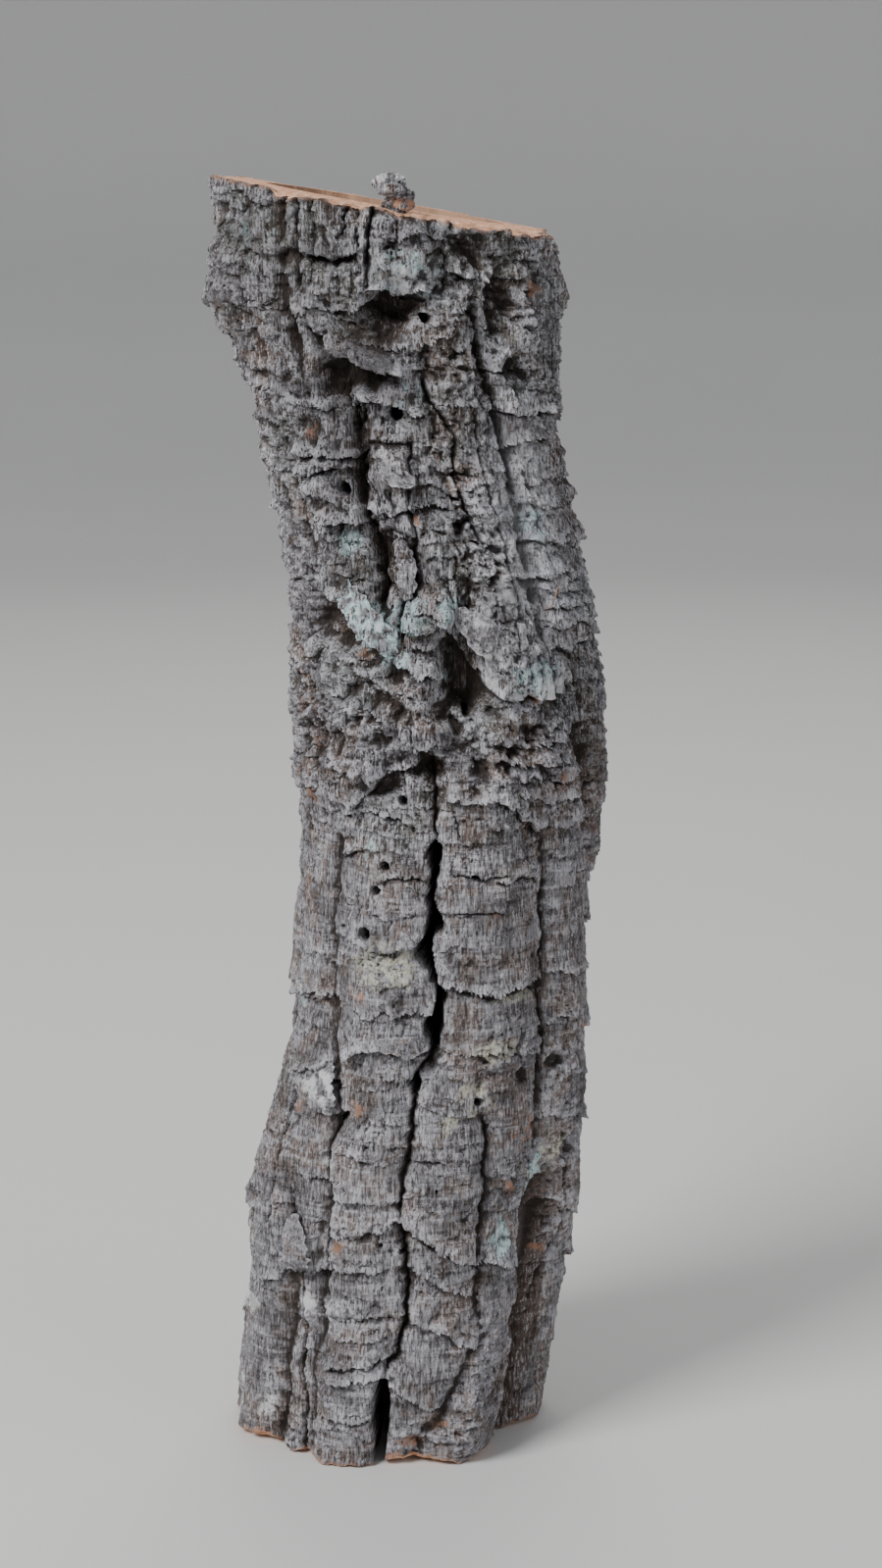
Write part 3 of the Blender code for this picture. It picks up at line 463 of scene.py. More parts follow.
def ledgeAt(turn, height, path, lip, reach):  # relief of one growth step, and how near its lip is
    points, across, beyond = acrossPath(turn, path)
    above = height - smoothBetween(across, points[:, 0], points[:, 1])
    inside = np.exp(-((beyond / ledgeShape["endFade"]) ** 2))
    over = np.where(above >= 0, np.exp(-np.maximum(above, 0) / reach), 0)
    under = np.where(above < 0, np.exp(np.minimum(above, 0) / reach * 2.0), 0)
    edge = np.where(above >= 0, np.exp(-np.maximum(above, 0) / ledgeShape["edge"]), 0)
    return inside * lip * (ledgeShape["out"] * over - ledgeShape["undercut"] * under), inside * lip * edge


def splitAt(turn, height, path, halfHeight):
    points, across, beyond = acrossPath(turn, path)
    above = height - np.interp(across, points[:, 0], points[:, 1])
    return np.exp(-((above / halfHeight) ** 2) - (beyond / 2.0) ** 2)


def spotAt(turn, height, place, power):
    across = turnBetween(turn, place[0]) / place[2]
    up = (height - place[1]) / place[3]
    return np.exp(-((across**2 + up**2) ** power))


def spotSum(turn, height, places, power):
    return sum(place[4] * spotAt(turn, height, place, power) for place in places)


def gapAt(turn, height, stations):  # how far inside a gap a point is, + inside
    points = np.array(sorted(stations, key=lambda station: station[1]), float)
    aside = np.abs(turnBetween(turn, np.interp(height, points[:, 1], points[:, 0])))
    half = np.interp(height, points[:, 1], points[:, 2]) / 2
    beyond = np.maximum(points[0, 1] - height, height - points[-1, 1])
    return half - aside - np.maximum(beyond, 0) * 3


def insideSlit(turn, height):
    return np.maximum.reduce([gapAt(turn, height, spots(stations, 2)) for stations in slit.values()])


def blurred(field, rowReach, columnReach):  # box blur twice over the grid, closed round the branch
    for _ in range(2):
        padded = np.concatenate([field[:, -columnReach:], field, field[:, :columnReach]], axis=1)
        total = np.cumsum(np.pad(padded, ((0, 0), (1, 0))), axis=1)
        field = (total[:, 2 * columnReach + 1:] - total[:, :-2 * columnReach - 1]) / (2 * columnReach + 1)
        padded = np.pad(field, ((rowReach, rowReach), (0, 0)), mode="edge")
        total = np.cumsum(np.pad(padded, ((1, 0), (0, 0))), axis=0)
        field = (total[2 * rowReach + 1:] - total[:-2 * rowReach - 1]) / (2 * rowReach + 1)
    return field


# the outside of the bark, in metres

surface = {
    "seed": 11, "deepest": -0.017,
    # growth bands: pitch, height of a step, seed, size of the patches where they show
    "bands": [(0.017, 0.0026, 21, 0.05), (0.0085, 0.0016, 22, 0.035), (0.0042, 0.0007, 23, 0.02)],
    # sizes of what covers the bark
    "plate": 0.0135, "smallPlate": 0.0062, "scab": 0.0125, "fissure": 0.011, "hairline": 0.004,
    "scratch": 0.006, "crumb": 0.003, "torn": 0.013, "grain": 0.0026, "fibre": 0.0019,
    "scabHeight": 0.003, "hairlineDepth": 0.0006, "scratchDepth": 0.0007, "tornDepth": 0.0042,
    "plateRise": 0.0012, "smallPlateRise": 0.0018, "scabChange": 0.0032, "fissureDepth": 0.001,
    "slitEdge": 0.0006, "slitRagged": 0.0007, "slitWider": 0.0004, "slitDepth": 0.036,
    "boringDepth": 0.013, "chipSlope": 0.0035, "chipRagged": 0.0017, "deepestDroop": 0.0024,
}


def plainRelief(turn, height):  # the forms of the tables
    relief = np.zeros(np.shape(turn))
    edge = np.zeros(np.shape(turn))
    for path, halfWidth, depth in furrows:
        relief -= depth * alongPath(turn, height, path, halfWidth, 1.35)
    for path, halfWidth, proud in ribs:
        relief += proud * alongPath(turn, height, path, halfWidth)
    lipChange = 0.75 + 0.6 * rough(turn, height, 0.012, 201, 2)
    ragged = height + 0.0016 * rough(turn, height, 0.01, 205, 4, 1, 0.6)
    backs = [([(d - 13, h + 0.004), (d - 3, h - 0.003), (d + 12, h + 0.002 * (d % 3 - 1))],
              0.0026 + 0.0007 * (d % 4), 0.016) for d, h in backLedges]
    for place, lip, reach in ledges + backs:
        made, near = ledgeAt(turn, ragged, place, lip, reach)
        relief += made * lipChange
        edge = np.maximum(edge, near)
    for place, halfHeight, depth in splits:
        relief -= depth * splitAt(turn, height, place, halfHeight)
    return relief - spotSum(turn, height, hollows, 2.2) + spotSum(turn, height, knobs, 2.0), edge


def crustAmount(turn, height):
    amount = 0.03 + 0.05 * step(0.28, 0.36, height) + 0.22 * rough(turn, height, 0.04, 301, 3)
    return np.clip(amount + spotSum(turn, height, crusts, 1.0), 0, 1)


def growthBands(turn, height, pitch, seed, patchy):  # sawtooth steps, fullest just above each drop
    shift = 0.4 * rough(turn, height, 0.026, seed, 3) + 0.5 * rough(turn, height, 0.09, seed + 5, 2)
    phase = height / pitch + shift
    saw = 1 - (phase - np.floor(phase))
    strength = step(-0.25, 0.5, rough(turn, height, patchy, seed + 9, 3, 0.6))
    return (saw**2 - 0.33) * strength, saw**12 * strength


def shingles(turn, height, size, seed, stretch):  # broken plates, each standing out at its lower edge
    _, gap, number, offset = pebbles(turn, height, size, seed, stretch)
    return (number - 0.5) * 0.8 - offset * 0.7, 1 - step(0.0, 0.22, gap)


def buildRelief(turn, height):
    seed = surface["seed"]

    def noise(size, more, octaves, stretch=1.0):
        return rough(turn, height, size, seed + more, octaves, stretch)

    def lines(t, h, size, more, stretch, low):  # 1 on thin lines
        return step(low, 1.0, 1 - np.abs(waves(t, h, size, seed + more, stretch)))

    def patches(size, more, stretch, low, high):
        return step(low, high, waves(turn, height, size, seed + more, stretch))

    warpTurn = 0.0022 * noise(0.018, 0, 3) + 0.001 * noise(0.004, 1, 2)
    warpHeight = 0.0024 * noise(0.02, 2, 3) + 0.0008 * noise(0.005, 3, 3)
    t, h = turn + warpTurn, height + warpHeight
    relief, edge = plainRelief(t, h)
    crust = crustAmount(turn, height)
    smooth = 1 - crust
    upper = step(*branch["upper"], height)

    # swelling of the whole surface
    relief += (0.001 + 0.0012 * upper) * noise(0.04, 4, 2)
    relief += (0.0004 + 0.0003 * upper + 0.0004 * crust) * noise(0.015, 6, 2, 1.6)
    relief += (0.001 * upper + 0.0006 * crust) * ridged(t, h, 0.017, seed + 7, 2, 1.4)

    # overlapping growth bands in three sizes
    for pitch, amount, bandSeed, patchy in surface["bands"]:
        band, lip = growthBands(t, height + 0.6 * warpHeight, pitch, seed + bandSeed, patchy)
        size = amount * (0.55 + 0.45 * upper) * (1 - 0.4 * crust)
        relief += size * band
        edge = np.maximum(edge, 1.2 * size * lip)

    # broken plates in the rough parts
    plate, gap = shingles(t + 0.4 * warpTurn, h + 0.5 * warpHeight, surface["plate"], seed + 25, 0.75)
    relief += (0.0003 + surface["plateRise"] * upper) * plate - 0.0005 * upper * gap
    plate, gap = shingles(t, h + 0.3 * warpHeight, surface["smallPlate"], seed + 28, 0.8)
    relief += surface["smallPlateRise"] * np.clip(0.24 * upper + 0.9 * crust, 0, 1) * (plate - 0.5 * gap)

    # rounded scabs
    scab = np.maximum.reduce([place[4] * spotAt(turn, height, place, 1.5) for place in scabs])
    near, _, number, _ = pebbles(t + 1.6 * warpTurn, h + 1.6 * warpHeight, surface["scab"], seed + 61, 0.85)
    hollow = step(0.62, 0.95, number) * step(0.55, 0.1, near)
    relief += scab * surface["scabHeight"] * (0.55 - np.minimum(near, 0.9) ** 2 - hollow)
    relief += scab * surface["scabChange"] * (number - 0.5)

    # fissures along the grain
    fissure = lines(t + 0.3 * warpTurn, h, surface["fissure"], 31, 5.0, 0.91)
    relief -= surface["fissureDepth"] * (1 + 1.4 * upper) * fissure * patches(0.04, 32, 1.5, -0.1, 0.4)
    fine = lines(t, h, surface["hairline"], 33, 7.0, 0.82)
    relief -= surface["hairlineDepth"] * smooth * fine * patches(0.02, 34, 1.6, -0.4, 0.3)
    scratch = lines(t, h + 0.5 * warpHeight, surface["scratch"], 35, 0.22, 0.86)
    relief -= surface["scratchDepth"] * scratch * patches(0.012, 36, 0.8, -0.1, 0.5)
    for path, halfWidth, depth in cracks:
        relief -= depth * alongPath(t, h, path, halfWidth, 1.6)

    # crumbs and torn pits
    _, gap, number, _ = pebbles(t, h, surface["crumb"], seed + 44, 0.9)
    relief += crust * (0.001 * (number - 0.5) - 0.0008 * (1 - step(0.02, 0.35, gap)))
    torn = step(0.45, 0.75, rough(turn, height, surface["torn"], seed + 47, 4, 0.6))
    torn = torn * step(0.3, 0.75, crust + 0.1 * upper)
    relief -= surface["tornDepth"] * torn + spotSum(t, h, pits, 2.0)

    # grain
    grain = rough(turn, height, surface["grain"], seed + 51, 2, 0.9, 0.7)
    relief += (0.00028 + 0.0002 * upper + 0.0006 * crust) * grain
    relief += 0.00022 * smooth * waves(turn, height, surface["fibre"], seed + 54, 5.0)
    return np.maximum(relief, surface["deepest"]), edge, crust, torn, upper


def boreHoles(turn, height):  # moves grid points onto each rim, so that the holes are round
    depth = np.zeros(np.shape(turn))
    for degrees, middle, diameter in borings:
        radius = diameter / 2
        dx, dy = turnBetween(turn, degrees), height - middle
        away = np.maximum(np.hypot(dx, dy), 1e-9)
        near = away < 1.7 * radius
        share = away / radius
        onRim = np.where(share < 1.16, 0.94 + 0.06 * (share > 0.86), share)
        snap = np.where(share < 0.62, share * 0.94 / 0.62, onRim)
        scale = np.where(near, snap / share, 1)
        turn = turn + np.where(near, dx * (scale - 1), 0)
        height = height + np.where(near, dy * (scale - 1), 0)
        sunk = np.where(near, 1 - step(0.6, 0.92, share), 0)
        depth = np.maximum(depth, sunk * min(surface["boringDepth"], 3.5 * diameter))
    return turn, height, depth


def chipped(turn, which):  # how much is broken away from the edge of a cut
    ragged = rough(turn, 0 * turn + 0.1, 0.009, 71 + len(which), 4)
    amount = surface["chipRagged"] * np.maximum(0, ragged + 0.35)
    for degrees, halfWidth, depth in spots(chips[which], 2):
        aside = turnBetween(turn, degrees) + 0.002 * waves(turn, 0 * turn, 0.006, 77)
        amount += depth * np.exp(-(np.abs(aside / halfWidth) ** 3))
    return amount


def makeBark():
    reach, rows = math.radians(branch["frontReach"]), branch["rows"]
    front = np.linspace(-reach, reach, branch["frontColumns"], endpoint=False)
    back = np.linspace(reach, 2 * math.pi - reach, branch["backColumns"], endpoint=False)
    angle = np.concatenate([front, back])
    turn = np.tile(angle * branch["meanRadius"], (rows, 1))
    share = np.linspace(0, 1, rows)[:, None] + 0 * turn
    low, high = chipped(turn[0], "base"), chipped(turn[0], "top")
    centre, halfWidth = section(branch["topAtAxis"])[:2]
    height = low + share * (topAt(centre + halfWidth * np.sin(angle)) - high - low)
    turn, height, hole = boreHoles(turn, height)
    relief, edge, crust, torn, upper = buildRelief(turn, height)
    wider = surface["slitWider"] + surface["slitRagged"] * rough(turn, height, 0.005, 61, 3)
    opened = np.clip((insideSlit(turn, height) + wider) / surface["slitEdge"] + 0.3, 0, 1)
    relief = relief - hole - surface["slitDepth"] * opened

    points = onSection(turn / branch["meanRadius"], height, relief)
    ends = np.clip(np.minimum(share, 1 - share) / 0.02, 0, 1)
    points[..., 2] -= np.minimum(edge * 0.7, surface["deepestDroop"]) * ends
    points[..., 2] = np.clip(points[..., 2], 0, topAt(points[..., 0]))
    return {"angle": angle, "turn": turn, "height": height, "share": share, "points": points,
            "relief": relief, "edge": edge, "crust": crust, "torn": torn, "upper": upper, "open": opened}


def markBark(bark):  # what the material needs to know about each point, in five colour layers
    turn, height, relief, upper = bark["turn"], bark["height"], bark["relief"], bark["upper"]

    def stained(kind, size, seed, broken=0.34):  # patchy mask with a crumbly edge
        places = spots(stains[kind], 3)
        mask = np.maximum.reduce([place[4] * spotAt(turn, height, place, 1.0) for place in places])
        crumble = rough(turn, height, size, seed, 4, 1.0, 0.6)
        return step(0.32, 0.62, mask + broken * crumble * (mask > 0.02)) * np.clip(mask * 2.2, 0, 1)

    def around(field, span):  # 0.5 where the field is 0
        return np.clip(0.5 + field / span, 0, 1)

    shallow = np.maximum(relief, -0.02)
    # depth of each point below its blurred surroundings at three sizes; the material paints shade into
    # crevices and hollows with these, and highlights onto crests and lumps
    wide, broad, close = (blurred(shallow, *reach) - shallow for reach in ((11, 11), (30, 26), (3, 3)))
    # dim darkens the upper part and the listed zones and lightens others, partly the bark's own tone and
    # partly painted shade and painted light
    dim = 0.2 * upper + spotSum(turn, height, dims, 1.0)
    right = step(-0.01, 0.05, turnBetween(turn, 20)) * (np.abs(turnBetween(turn, 60)) < 0.08)
    rimward = np.minimum(bark["share"], 1 - bark["share"]) * branch["topAtAxis"]
    rim = step(0.0016, 0.0002, rimward + 0.001 * rough(turn, height, 0.004, 91, 3))
    warm = 0.42 - 0.06 * upper + 0.2 * right + 0.6 * rough(turn, height, 0.034, 85, 5, 1, 0.75)
    green = upper * 0.6 + 0.8 * rough(turn, height, 0.06, 87, 4) - 0.1
    bark["marks"] = {
        "tone": packed(around(wide, 0.008), around(close, 0.0022), bark["crust"]),
        "lichen": packed(stained("mint", 0.007, 81), stained("cream", 0.006, 82),
                         stained("white", 0.006, 83)),
        "wear_and_shade": packed(np.maximum(stained("orange", 0.0035, 84, 0.6), rim * 0.8),
                       # torn pits are bare brown cork; every place deeper than 7.5 mm gets the same brown
                       # as painted shade
                       np.clip(bark["torn"] + (relief < -0.0075) * 0.8, 0, 1), np.clip(warm, 0, 1)),
        "light": packed(np.clip(dim, 0, 1), around(broad, 0.014), np.clip(-dim, 0, 1)),
        # nearness to a growth lip, which the material lightens as a painted highlight, partly the lips'
        # weathered paleness
        "form": packed(np.clip(bark["edge"] / 0.003, 0, 1), np.clip(green, 0, 1),
                       around(rough(turn, height, 0.02, 88, 4), 1.25)),
    }


# meshes from grids

def placed(name, data):
    made = bpy.data.objects.new(name, data)
    bpy.context.scene.collection.objects.link(made)
    return made


def addMesh(name, points, faces, marks, uv, material):
    used, places = np.unique(faces, return_inverse=True)
    faces = places.reshape(faces.shape)
    mesh = bpy.data.meshes.new(name)
    mesh.vertices.add(len(used))
    mesh.vertices.foreach_set("co", points.reshape(-1, 3)[used].astype(np.float32).ravel())
    mesh.loops.add(faces.size)
    mesh.loops.foreach_set("vertex_index", faces.astype(np.int32).ravel())
    mesh.polygons.add(len(faces))
    mesh.polygons.foreach_set("loop_start", np.arange(0, faces.size, 4, dtype=np.int32))
    mesh.update(calc_edges=True)
    mesh.polygons.foreach_set("use_smooth", np.ones(len(faces), bool))
    for label, values in marks.items():
        layer = mesh.attributes.new(label, "FLOAT_COLOR", "POINT")
        colours = np.concatenate([values.reshape(-1, 3)[used], np.ones((len(used), 1))], axis=1)
        layer.data.foreach_set("color", colours.astype(np.float32).ravel())
    layer = mesh.uv_layers.new(name="OFBake")
    layer.uv.foreach_set("vector", uv.reshape(-1, 2)[used][faces.ravel()].astype(np.float32).ravel())
    mesh.validate()
    mesh.set_sharp_from_angle(angle=math.radians(branch["crease"]))
    mesh.materials.append(material)
    return placed(name, mesh)


def gridFaces(rows, columns):  # quads of a grid that closes on itself sideways
    row, column = np.meshgrid(np.arange(rows - 1), np.arange(columns), indexing="ij")
    here, beside = row * columns + column, row * columns + (column + 1) % columns
    return packed(here, beside, beside + columns, here + columns).reshape(-1, 4)


def addBark(bark, material):
    names = ["front_left", "front_middle", "front_right", "back_right", "back_left"]
    rows, columns = bark["turn"].shape
    front, back = branch["frontColumns"], branch["backColumns"]
    starts = [0, front // 3, 2 * front // 3, front, front + back // 2, columns]
    depth = bark["relief"].reshape(-1)
    grid = gridFaces(rows, columns).reshape(rows - 1, columns, 4)
    pieces = []
    for name, first, last in zip(names, starts, starts[1:]):
        faces = grid[:, first:last].reshape(-1, 4)
        faces = faces[depth[faces].max(axis=1) > -branch["wall"] - 0.002]
        along = (np.arange(rows * columns) % columns - first) % columns / (last - first)
        uv = packed(np.clip(along, 0, 1), np.repeat(np.linspace(0, 1, rows), columns))
        pieces.append(addMesh("bark_" + name, bark["points"], faces, bark["marks"], uv, material))
    return pieces


def addBore(bark, material):
    rows = branch["boreRows"]
    angle = np.tile(bark["angle"][::2], (rows, 1))
    share = np.linspace(0, 1, rows)[:, None]
    turn = angle * branch["meanRadius"]
    guess = onSection(angle, share * branch["topAtAxis"], -branch["wall"])
    height = share * topAt(guess[..., 0])
    ridge = 0.0011 * rough(turn, height, 0.012, 111, 3, 5.0) + 0.0014 * rough(turn, height, 0.03, 112, 2)
    points = onSection(angle, height, ridge - branch["wall"])
    points[-1, :, 2] = topAt(points[-1, :, 0])
    points[0, :, 2] = 0
    faces = gridFaces(*angle.shape)[:, ::-1]
    faces = faces[insideSlit(turn, height).reshape(-1)[faces].max(axis=1) < 0.0002]
    # the ridge height goes to the material, which paints shade into the grooves between ridges
    tone = packed(share, np.clip(0.5 + ridge / 0.004, 0, 1), 0)
    uv = packed(np.linspace(0, 1, angle.shape[1]), share)
    return addMesh("bore_wall", points, faces, {"tone": tone}, uv, material), points


def innerRim(rim, columns):  # the bore's edge, with a point added between each two
    full = np.empty((columns, 3))
    full[::2] = rim
    full[1::2] = (rim + np.roll(rim, -1, axis=0))[:columns // 2] / 2
    return full


def addCut(name, outer, inner, keep, level, slope, material):
    share = np.linspace(0, 1, branch["cutRows"])[:, None]
    turn = np.arctan2(outer[:, 0] - outer[:, 0].mean(), -outer[:, 1]) * branch["meanRadius"]
    eased = share ** 0.8
    points = outer * (1 - eased[..., None]) + inner * eased[..., None]
    plane = level + slope * points[..., 0]
    away = np.linalg.norm(outer[:, :2] - inner[:, :2], axis=1) * eased
    missing = plane[0] - outer[:, 2]
    torn = 0.0007 * rough(turn + away * 3, away * 4, 0.006, 121, 3)
    torn = torn * step(0, 0.004, away) * step(0, 0.1, 1 - share)
    drop = missing * np.exp(-away / surface["chipSlope"]) + np.sign(missing.mean() + 1e-9) * np.abs(torn)
    drop[0], drop[-1] = missing, 0
    points[..., 2] = plane - drop
    tone = packed(away / 0.03, np.clip(np.abs(drop) / 0.003, 0, 1), share)
    faces = gridFaces(*away.shape)
    faces = faces[keep[faces % len(outer)].all(axis=1)]
    if level == 0:
        faces = faces[:, ::-1]
    return addMesh(name, points, faces, {"tone": tone}, 0.5 + points[..., :2] / 0.22, material)


def addFlake(name, about, seed, material):
    rows, half = branch["flakeRows"], branch["flakeColumns"]
    path = np.array(about["path"], float)
    path[:, 1:] /= 1000
    widths, thick, lift, curl = (np.array(about[key]) / 1000 for key in ("widths", "thick", "lift", "curl"))
    along, stops = np.linspace(0, 1, rows), np.linspace(0, 1, len(path))
    middle = packed(*(smoothBetween(along, stops, path[:, k]) for k in range(3)))
    middle[:, 0] *= math.radians(1) * branch["meanRadius"]
    forward = np.gradient(middle[:, :2], axis=0)
    forward /= np.linalg.norm(forward, axis=1)[:, None]
    width = smoothBetween(along, stops, widths) * np.clip(np.minimum(along, 1 - along) / 0.05, 0, 1) ** 0.5

    # a loop round the flake's section: the upper side, then back along the lower one
    across = np.concatenate([np.linspace(-1, 1, half), np.linspace(1, -1, half)[1:-1]])
    side = np.where(np.arange(len(across)) < half, 1, -1)
    along = along[:, None]
    v = across + 0 * along
    far = np.abs(v)
    ragged = 0.3 * rough(along * 0.05 + 0.02 * np.sign(v), 0 * v + 0.3, 0.006, seed, 4)
    reach = v * width[:, None] * (1 + ragged * v**2)
    turn = middle[:, None, 0] - forward[:, None, 1] * reach
    height = middle[:, None, 1] + forward[:, None, 0] * reach
    free = (v * np.sign(forward[:, None, 0] + 1e-9) < 0) * far
    out = middle[:, None, 2] + lift * free**1.5 + curl * v**2
    out = out + 0.0012 * rough(turn, height, 0.008, seed + 3, 4)
    out = out + 0.0005 * rough(turn, height, 0.002, seed + 4, 3)
    body = side * np.sqrt(np.clip(1 - far**4, 0, 1)) * thick / 2
    body = body * (0.8 + 0.4 * rough(turn, height, 0.004, seed + 6, 3))
    points = onSection(turn / branch["meanRadius"], height, out + np.where(far > 0.999, 0, body))

    tint = about["tint"]
    noisy = rough(turn, height, 0.006, seed + 9, 4, 1, 0.6)
    under = (side < 0) * 1.0
    patch = step(-0.35, 0.25, noisy) * (1 - under)
    white = patch * (0.9 * (tint == "white") + 0.6 * (tint == "silver"))
    white = white + step(0.1, 0.5, noisy) * (tint == "crumbly") * 0.6
    # the flake's underside is marked for painted shade, and its rims, through the close and edge values,
    # for painted highlights
    marks = {
        "light": packed(0.1, 0.4, 0 * v),
        "tone": packed(0.42, 0.45 - 0.25 * far**6, 0.25),
        "lichen": packed(patch * (tint == "mint"), 0, white),
        "wear_and_shade": packed(tint == "orange", under * 0.8, 0.4 + 0.3 * noisy),
        "form": packed(far**4 * 0.7, 0.4, 0.2 if tint == "dark" else 0.6),
    }
    uv = packed(along, np.arange(len(across)) / len(across))
    return addMesh(name, points, gridFaces(*v.shape), marks, uv, material)


# shader maths as expressions

class Link:
    def __init__(self, finish, socket):
        self.finish, self.socket = finish, socket

    def maths(self, operation, first, second):
        return self.finish.node("ShaderNodeMath", {"operation": operation}, {0: first, 1: second})

    def __add__(self, other):
        return self.maths("ADD", self, other)

    def __mul__(self, other):
        return self.maths("MULTIPLY", self, other)

    def __sub__(self, other):
        return self.maths("SUBTRACT", self, other)

    def __rsub__(self, other):
        return self.maths("SUBTRACT", other, self)

    __radd__, __rmul__ = __add__, __mul__

    def between(self, low, high):
        return self.finish.node("ShaderNodeMapRange", {"interpolation_type": "SMOOTHSTEP"},
                                {"Value": self, "From Min": low, "From Max": high})


class Finish:
    def __init__(self, name, roughness):
        self.material = bpy.data.materials.new(name)
        self.material.use_nodes = True
        self.nodes = self.material.node_tree.nodes
        self.shader = self.nodes["Principled BSDF"]
        self.shader.inputs["Roughness"].default_value = roughness
        self.shader.inputs["Specular IOR Level"].default_value = 0.25
        self.where = self.node("ShaderNodeTexCoord", output="Object")

    def join(self, value, socket):
        if isinstance(value, Link):
            self.material.node_tree.links.new(value.socket, socket)
        else:
            socket.default_value = value

    def node(self, kind, settings=None, inputs=None, output=0):
        made = self.nodes.new(kind)
        for key, value in (settings or {}).items():
            setattr(made, key, value)
        for key, value in (inputs or {}).items():
            self.join(value, made.inputs[key])
        return Link(self, made.outputs[output])

    def feed(self, socket, link):
        self.join(link, self.shader.inputs[socket])

    def place(self, scale):
        return self.node("ShaderNodeVectorMath", {"operation": "MULTIPLY"}, {0: self.where, 1: scale})

    def noise(self, scale, detail, coarse):
        return self.node("ShaderNodeTexNoise", None, {"Vector": self.place(scale), "Scale": 1.0,
                                                      "Detail": detail, "Roughness": coarse})

    def grains(self, scale):
        inputs = {"Vector": self.place(scale), "Scale": 1.0}
        return self.node("ShaderNodeTexVoronoi", None, inputs, "Distance")

    def mark(self, label):  # the three values of a colour layer
        colour = self.node("ShaderNodeAttribute", {"attribute_name": label}, output="Color")
        parts = self.nodes.new("ShaderNodeSeparateColor")
        self.join(colour, parts.inputs[0])
        return [Link(self, socket) for socket in parts.outputs]

    def mix(self, amount, first, second):
        first, second = (end if isinstance(end, Link) else (*end, 1.0) for end in (first, second))
        return self.node("ShaderNodeMix", {"data_type": "RGBA"}, {0: amount, 6: first, 7: second}, 2)

    def bump(self, height, distance, strength, under=None):
        inputs = {"Height": height, "Distance": distance, "Strength": strength}
        if under is not None:
            inputs["Normal"] = under
        return self.node("ShaderNodeBump", None, inputs)


# dark and hollow give the bark's own dark and brown parts and also painted shade; pale and silver also give
# painted highlights and painted light
barkColours = {
    "grey": (0.205, 0.196, 0.213), "brown": (0.228, 0.164, 0.136), "pale": (0.74, 0.735, 0.785),
    "green": (0.17, 0.188, 0.172), "dark": (0.033, 0.025, 0.021), "hollow": (0.112, 0.072, 0.053),
    "orange": (0.52, 0.275, 0.175), "mint": (0.58, 0.8, 0.82), "cream": (0.64, 0.62, 0.5),
    "white": (0.86, 0.865, 0.88), "silver": (0.37, 0.366, 0.392),
}


def barkFinish():
    look = Finish("weathered_bark", 0.92)
    wide, close, crust = look.mark("tone")
    mint, cream, white = look.mark("lichen")
    # the middle layer holds torn bare cork together with painted shade in deep places and under flakes
    orange, torn, warm = look.mark("wear_and_shade")
    edge, green, shade = look.mark("form")
    dim, broad, bright = look.mark("light")
    fibres = look.noise((1000, 1000, 130), 3, 0.7)
    strands = look.noise((760, 760, 90), 4, 0.7)
    blotches = look.noise((70, 70, 55), 5, 0.65)
    bands = look.noise((36, 36, 420), 4, 0.65)
    crumbs = look.noise((880, 880, 740), 4, 0.7)
    grit = look.noise((230, 230, 200), 4, 0.7)
    specks = look.grains((420, 420, 380))
    upper = look.node("ShaderNodeSeparateXYZ", None, {0: look.where}, 2).between(*branch["upper"])
    smooth = 1 - crust
    flecks = fibres * smooth + crumbs * crust
    patches = strands * smooth + grit * crust

    colour = look.mix(warm.between(0.38, 0.66), barkColours["grey"], barkColours["brown"])
    for amount, tint in (
        (green.between(0.3, 0.8) * 0.6, "green"),
        (blotches.between(0.5, 0.6) * 0.65, "silver"),
        (blotches.between(0.46, 0.38) * 0.45, "hollow"),
        (0.2 - 0.2 * upper, "silver"),
        # partly painted light: the lighter listed zones
        (bright * 0.5, "pale"),
        (bands.between(0.54, 0.64) * smooth * 0.4, "pale"),
        (patches.between(0.54, 0.61) * (0.13 + 0.09 * upper + 0.2 * crust), "pale"),
        (patches.between(0.46, 0.39) * (0.2 + 0.14 * upper + 0.2 * crust), "dark"),
        (bands.between(0.46, 0.38) * 0.56, "dark"),
        # painted highlight along the growth lips, partly their weathered paleness
        (edge.between(0.25, 0.95) * grit.between(0.38, 0.5) * 0.55, "pale"),
        # painted highlight on small crests
        (close.between(0.44, 0.1) * grit.between(0.42, 0.54) * 0.45, "pale"),
        # painted shade, dark brown, in large hollows
        (broad.between(0.56, 0.9) * 0.55, "hollow"),
        # painted light on large lumps
        (broad.between(0.46, 0.2) * grit.between(0.4, 0.56) * 0.12, "silver"),
        # bare brown cork in torn pits, and painted shade in deep places and under flakes
        (torn.between(0.15, 0.9) * 0.75, "hollow"),
        (cream * specks.between(0.75, 0.45) * 0.85, "cream"),
        (mint * grit.between(0.36, 0.48) * 0.85, "mint"),
        (mint.between(0.8, 1.0) * strands.between(0.5, 0.6) * 0.6, "white"),
        (flecks.between(0.54, 0.6) * (0.5 + 0.34 * upper), "pale"),
        (flecks.between(0.46, 0.41) * (0.74 + 0.2 * upper), "dark"),
        (white * grit.between(0.38, 0.48) * 0.85, "white"),
        (orange * grit.between(0.4, 0.5) * 0.85, "orange"),
        # painted shade in crevices
        (close.between(0.57, 0.92) * 0.8, "dark"),
        # painted shade in hollows
        (wide.between(0.6, 0.95) * 0.6, "dark"),
        (shade.between(0.5, 0.05) * 0.4, "dark"),
        # partly painted shade and painted light: the darker and lighter listed zones
        (dim * 0.45, "dark"),
        (bright * 0.18, "pale"),
    ):
        colour = look.mix(amount, colour, barkColours[tint])
    look.feed("Base Color", colour)
    look.feed("Roughness", 0.8 + 0.16 * crumbs)
    look.feed("Normal", look.bump(patches, 0.0016, 0.8, look.bump(flecks, 0.001, 1.0)))
    return look.material


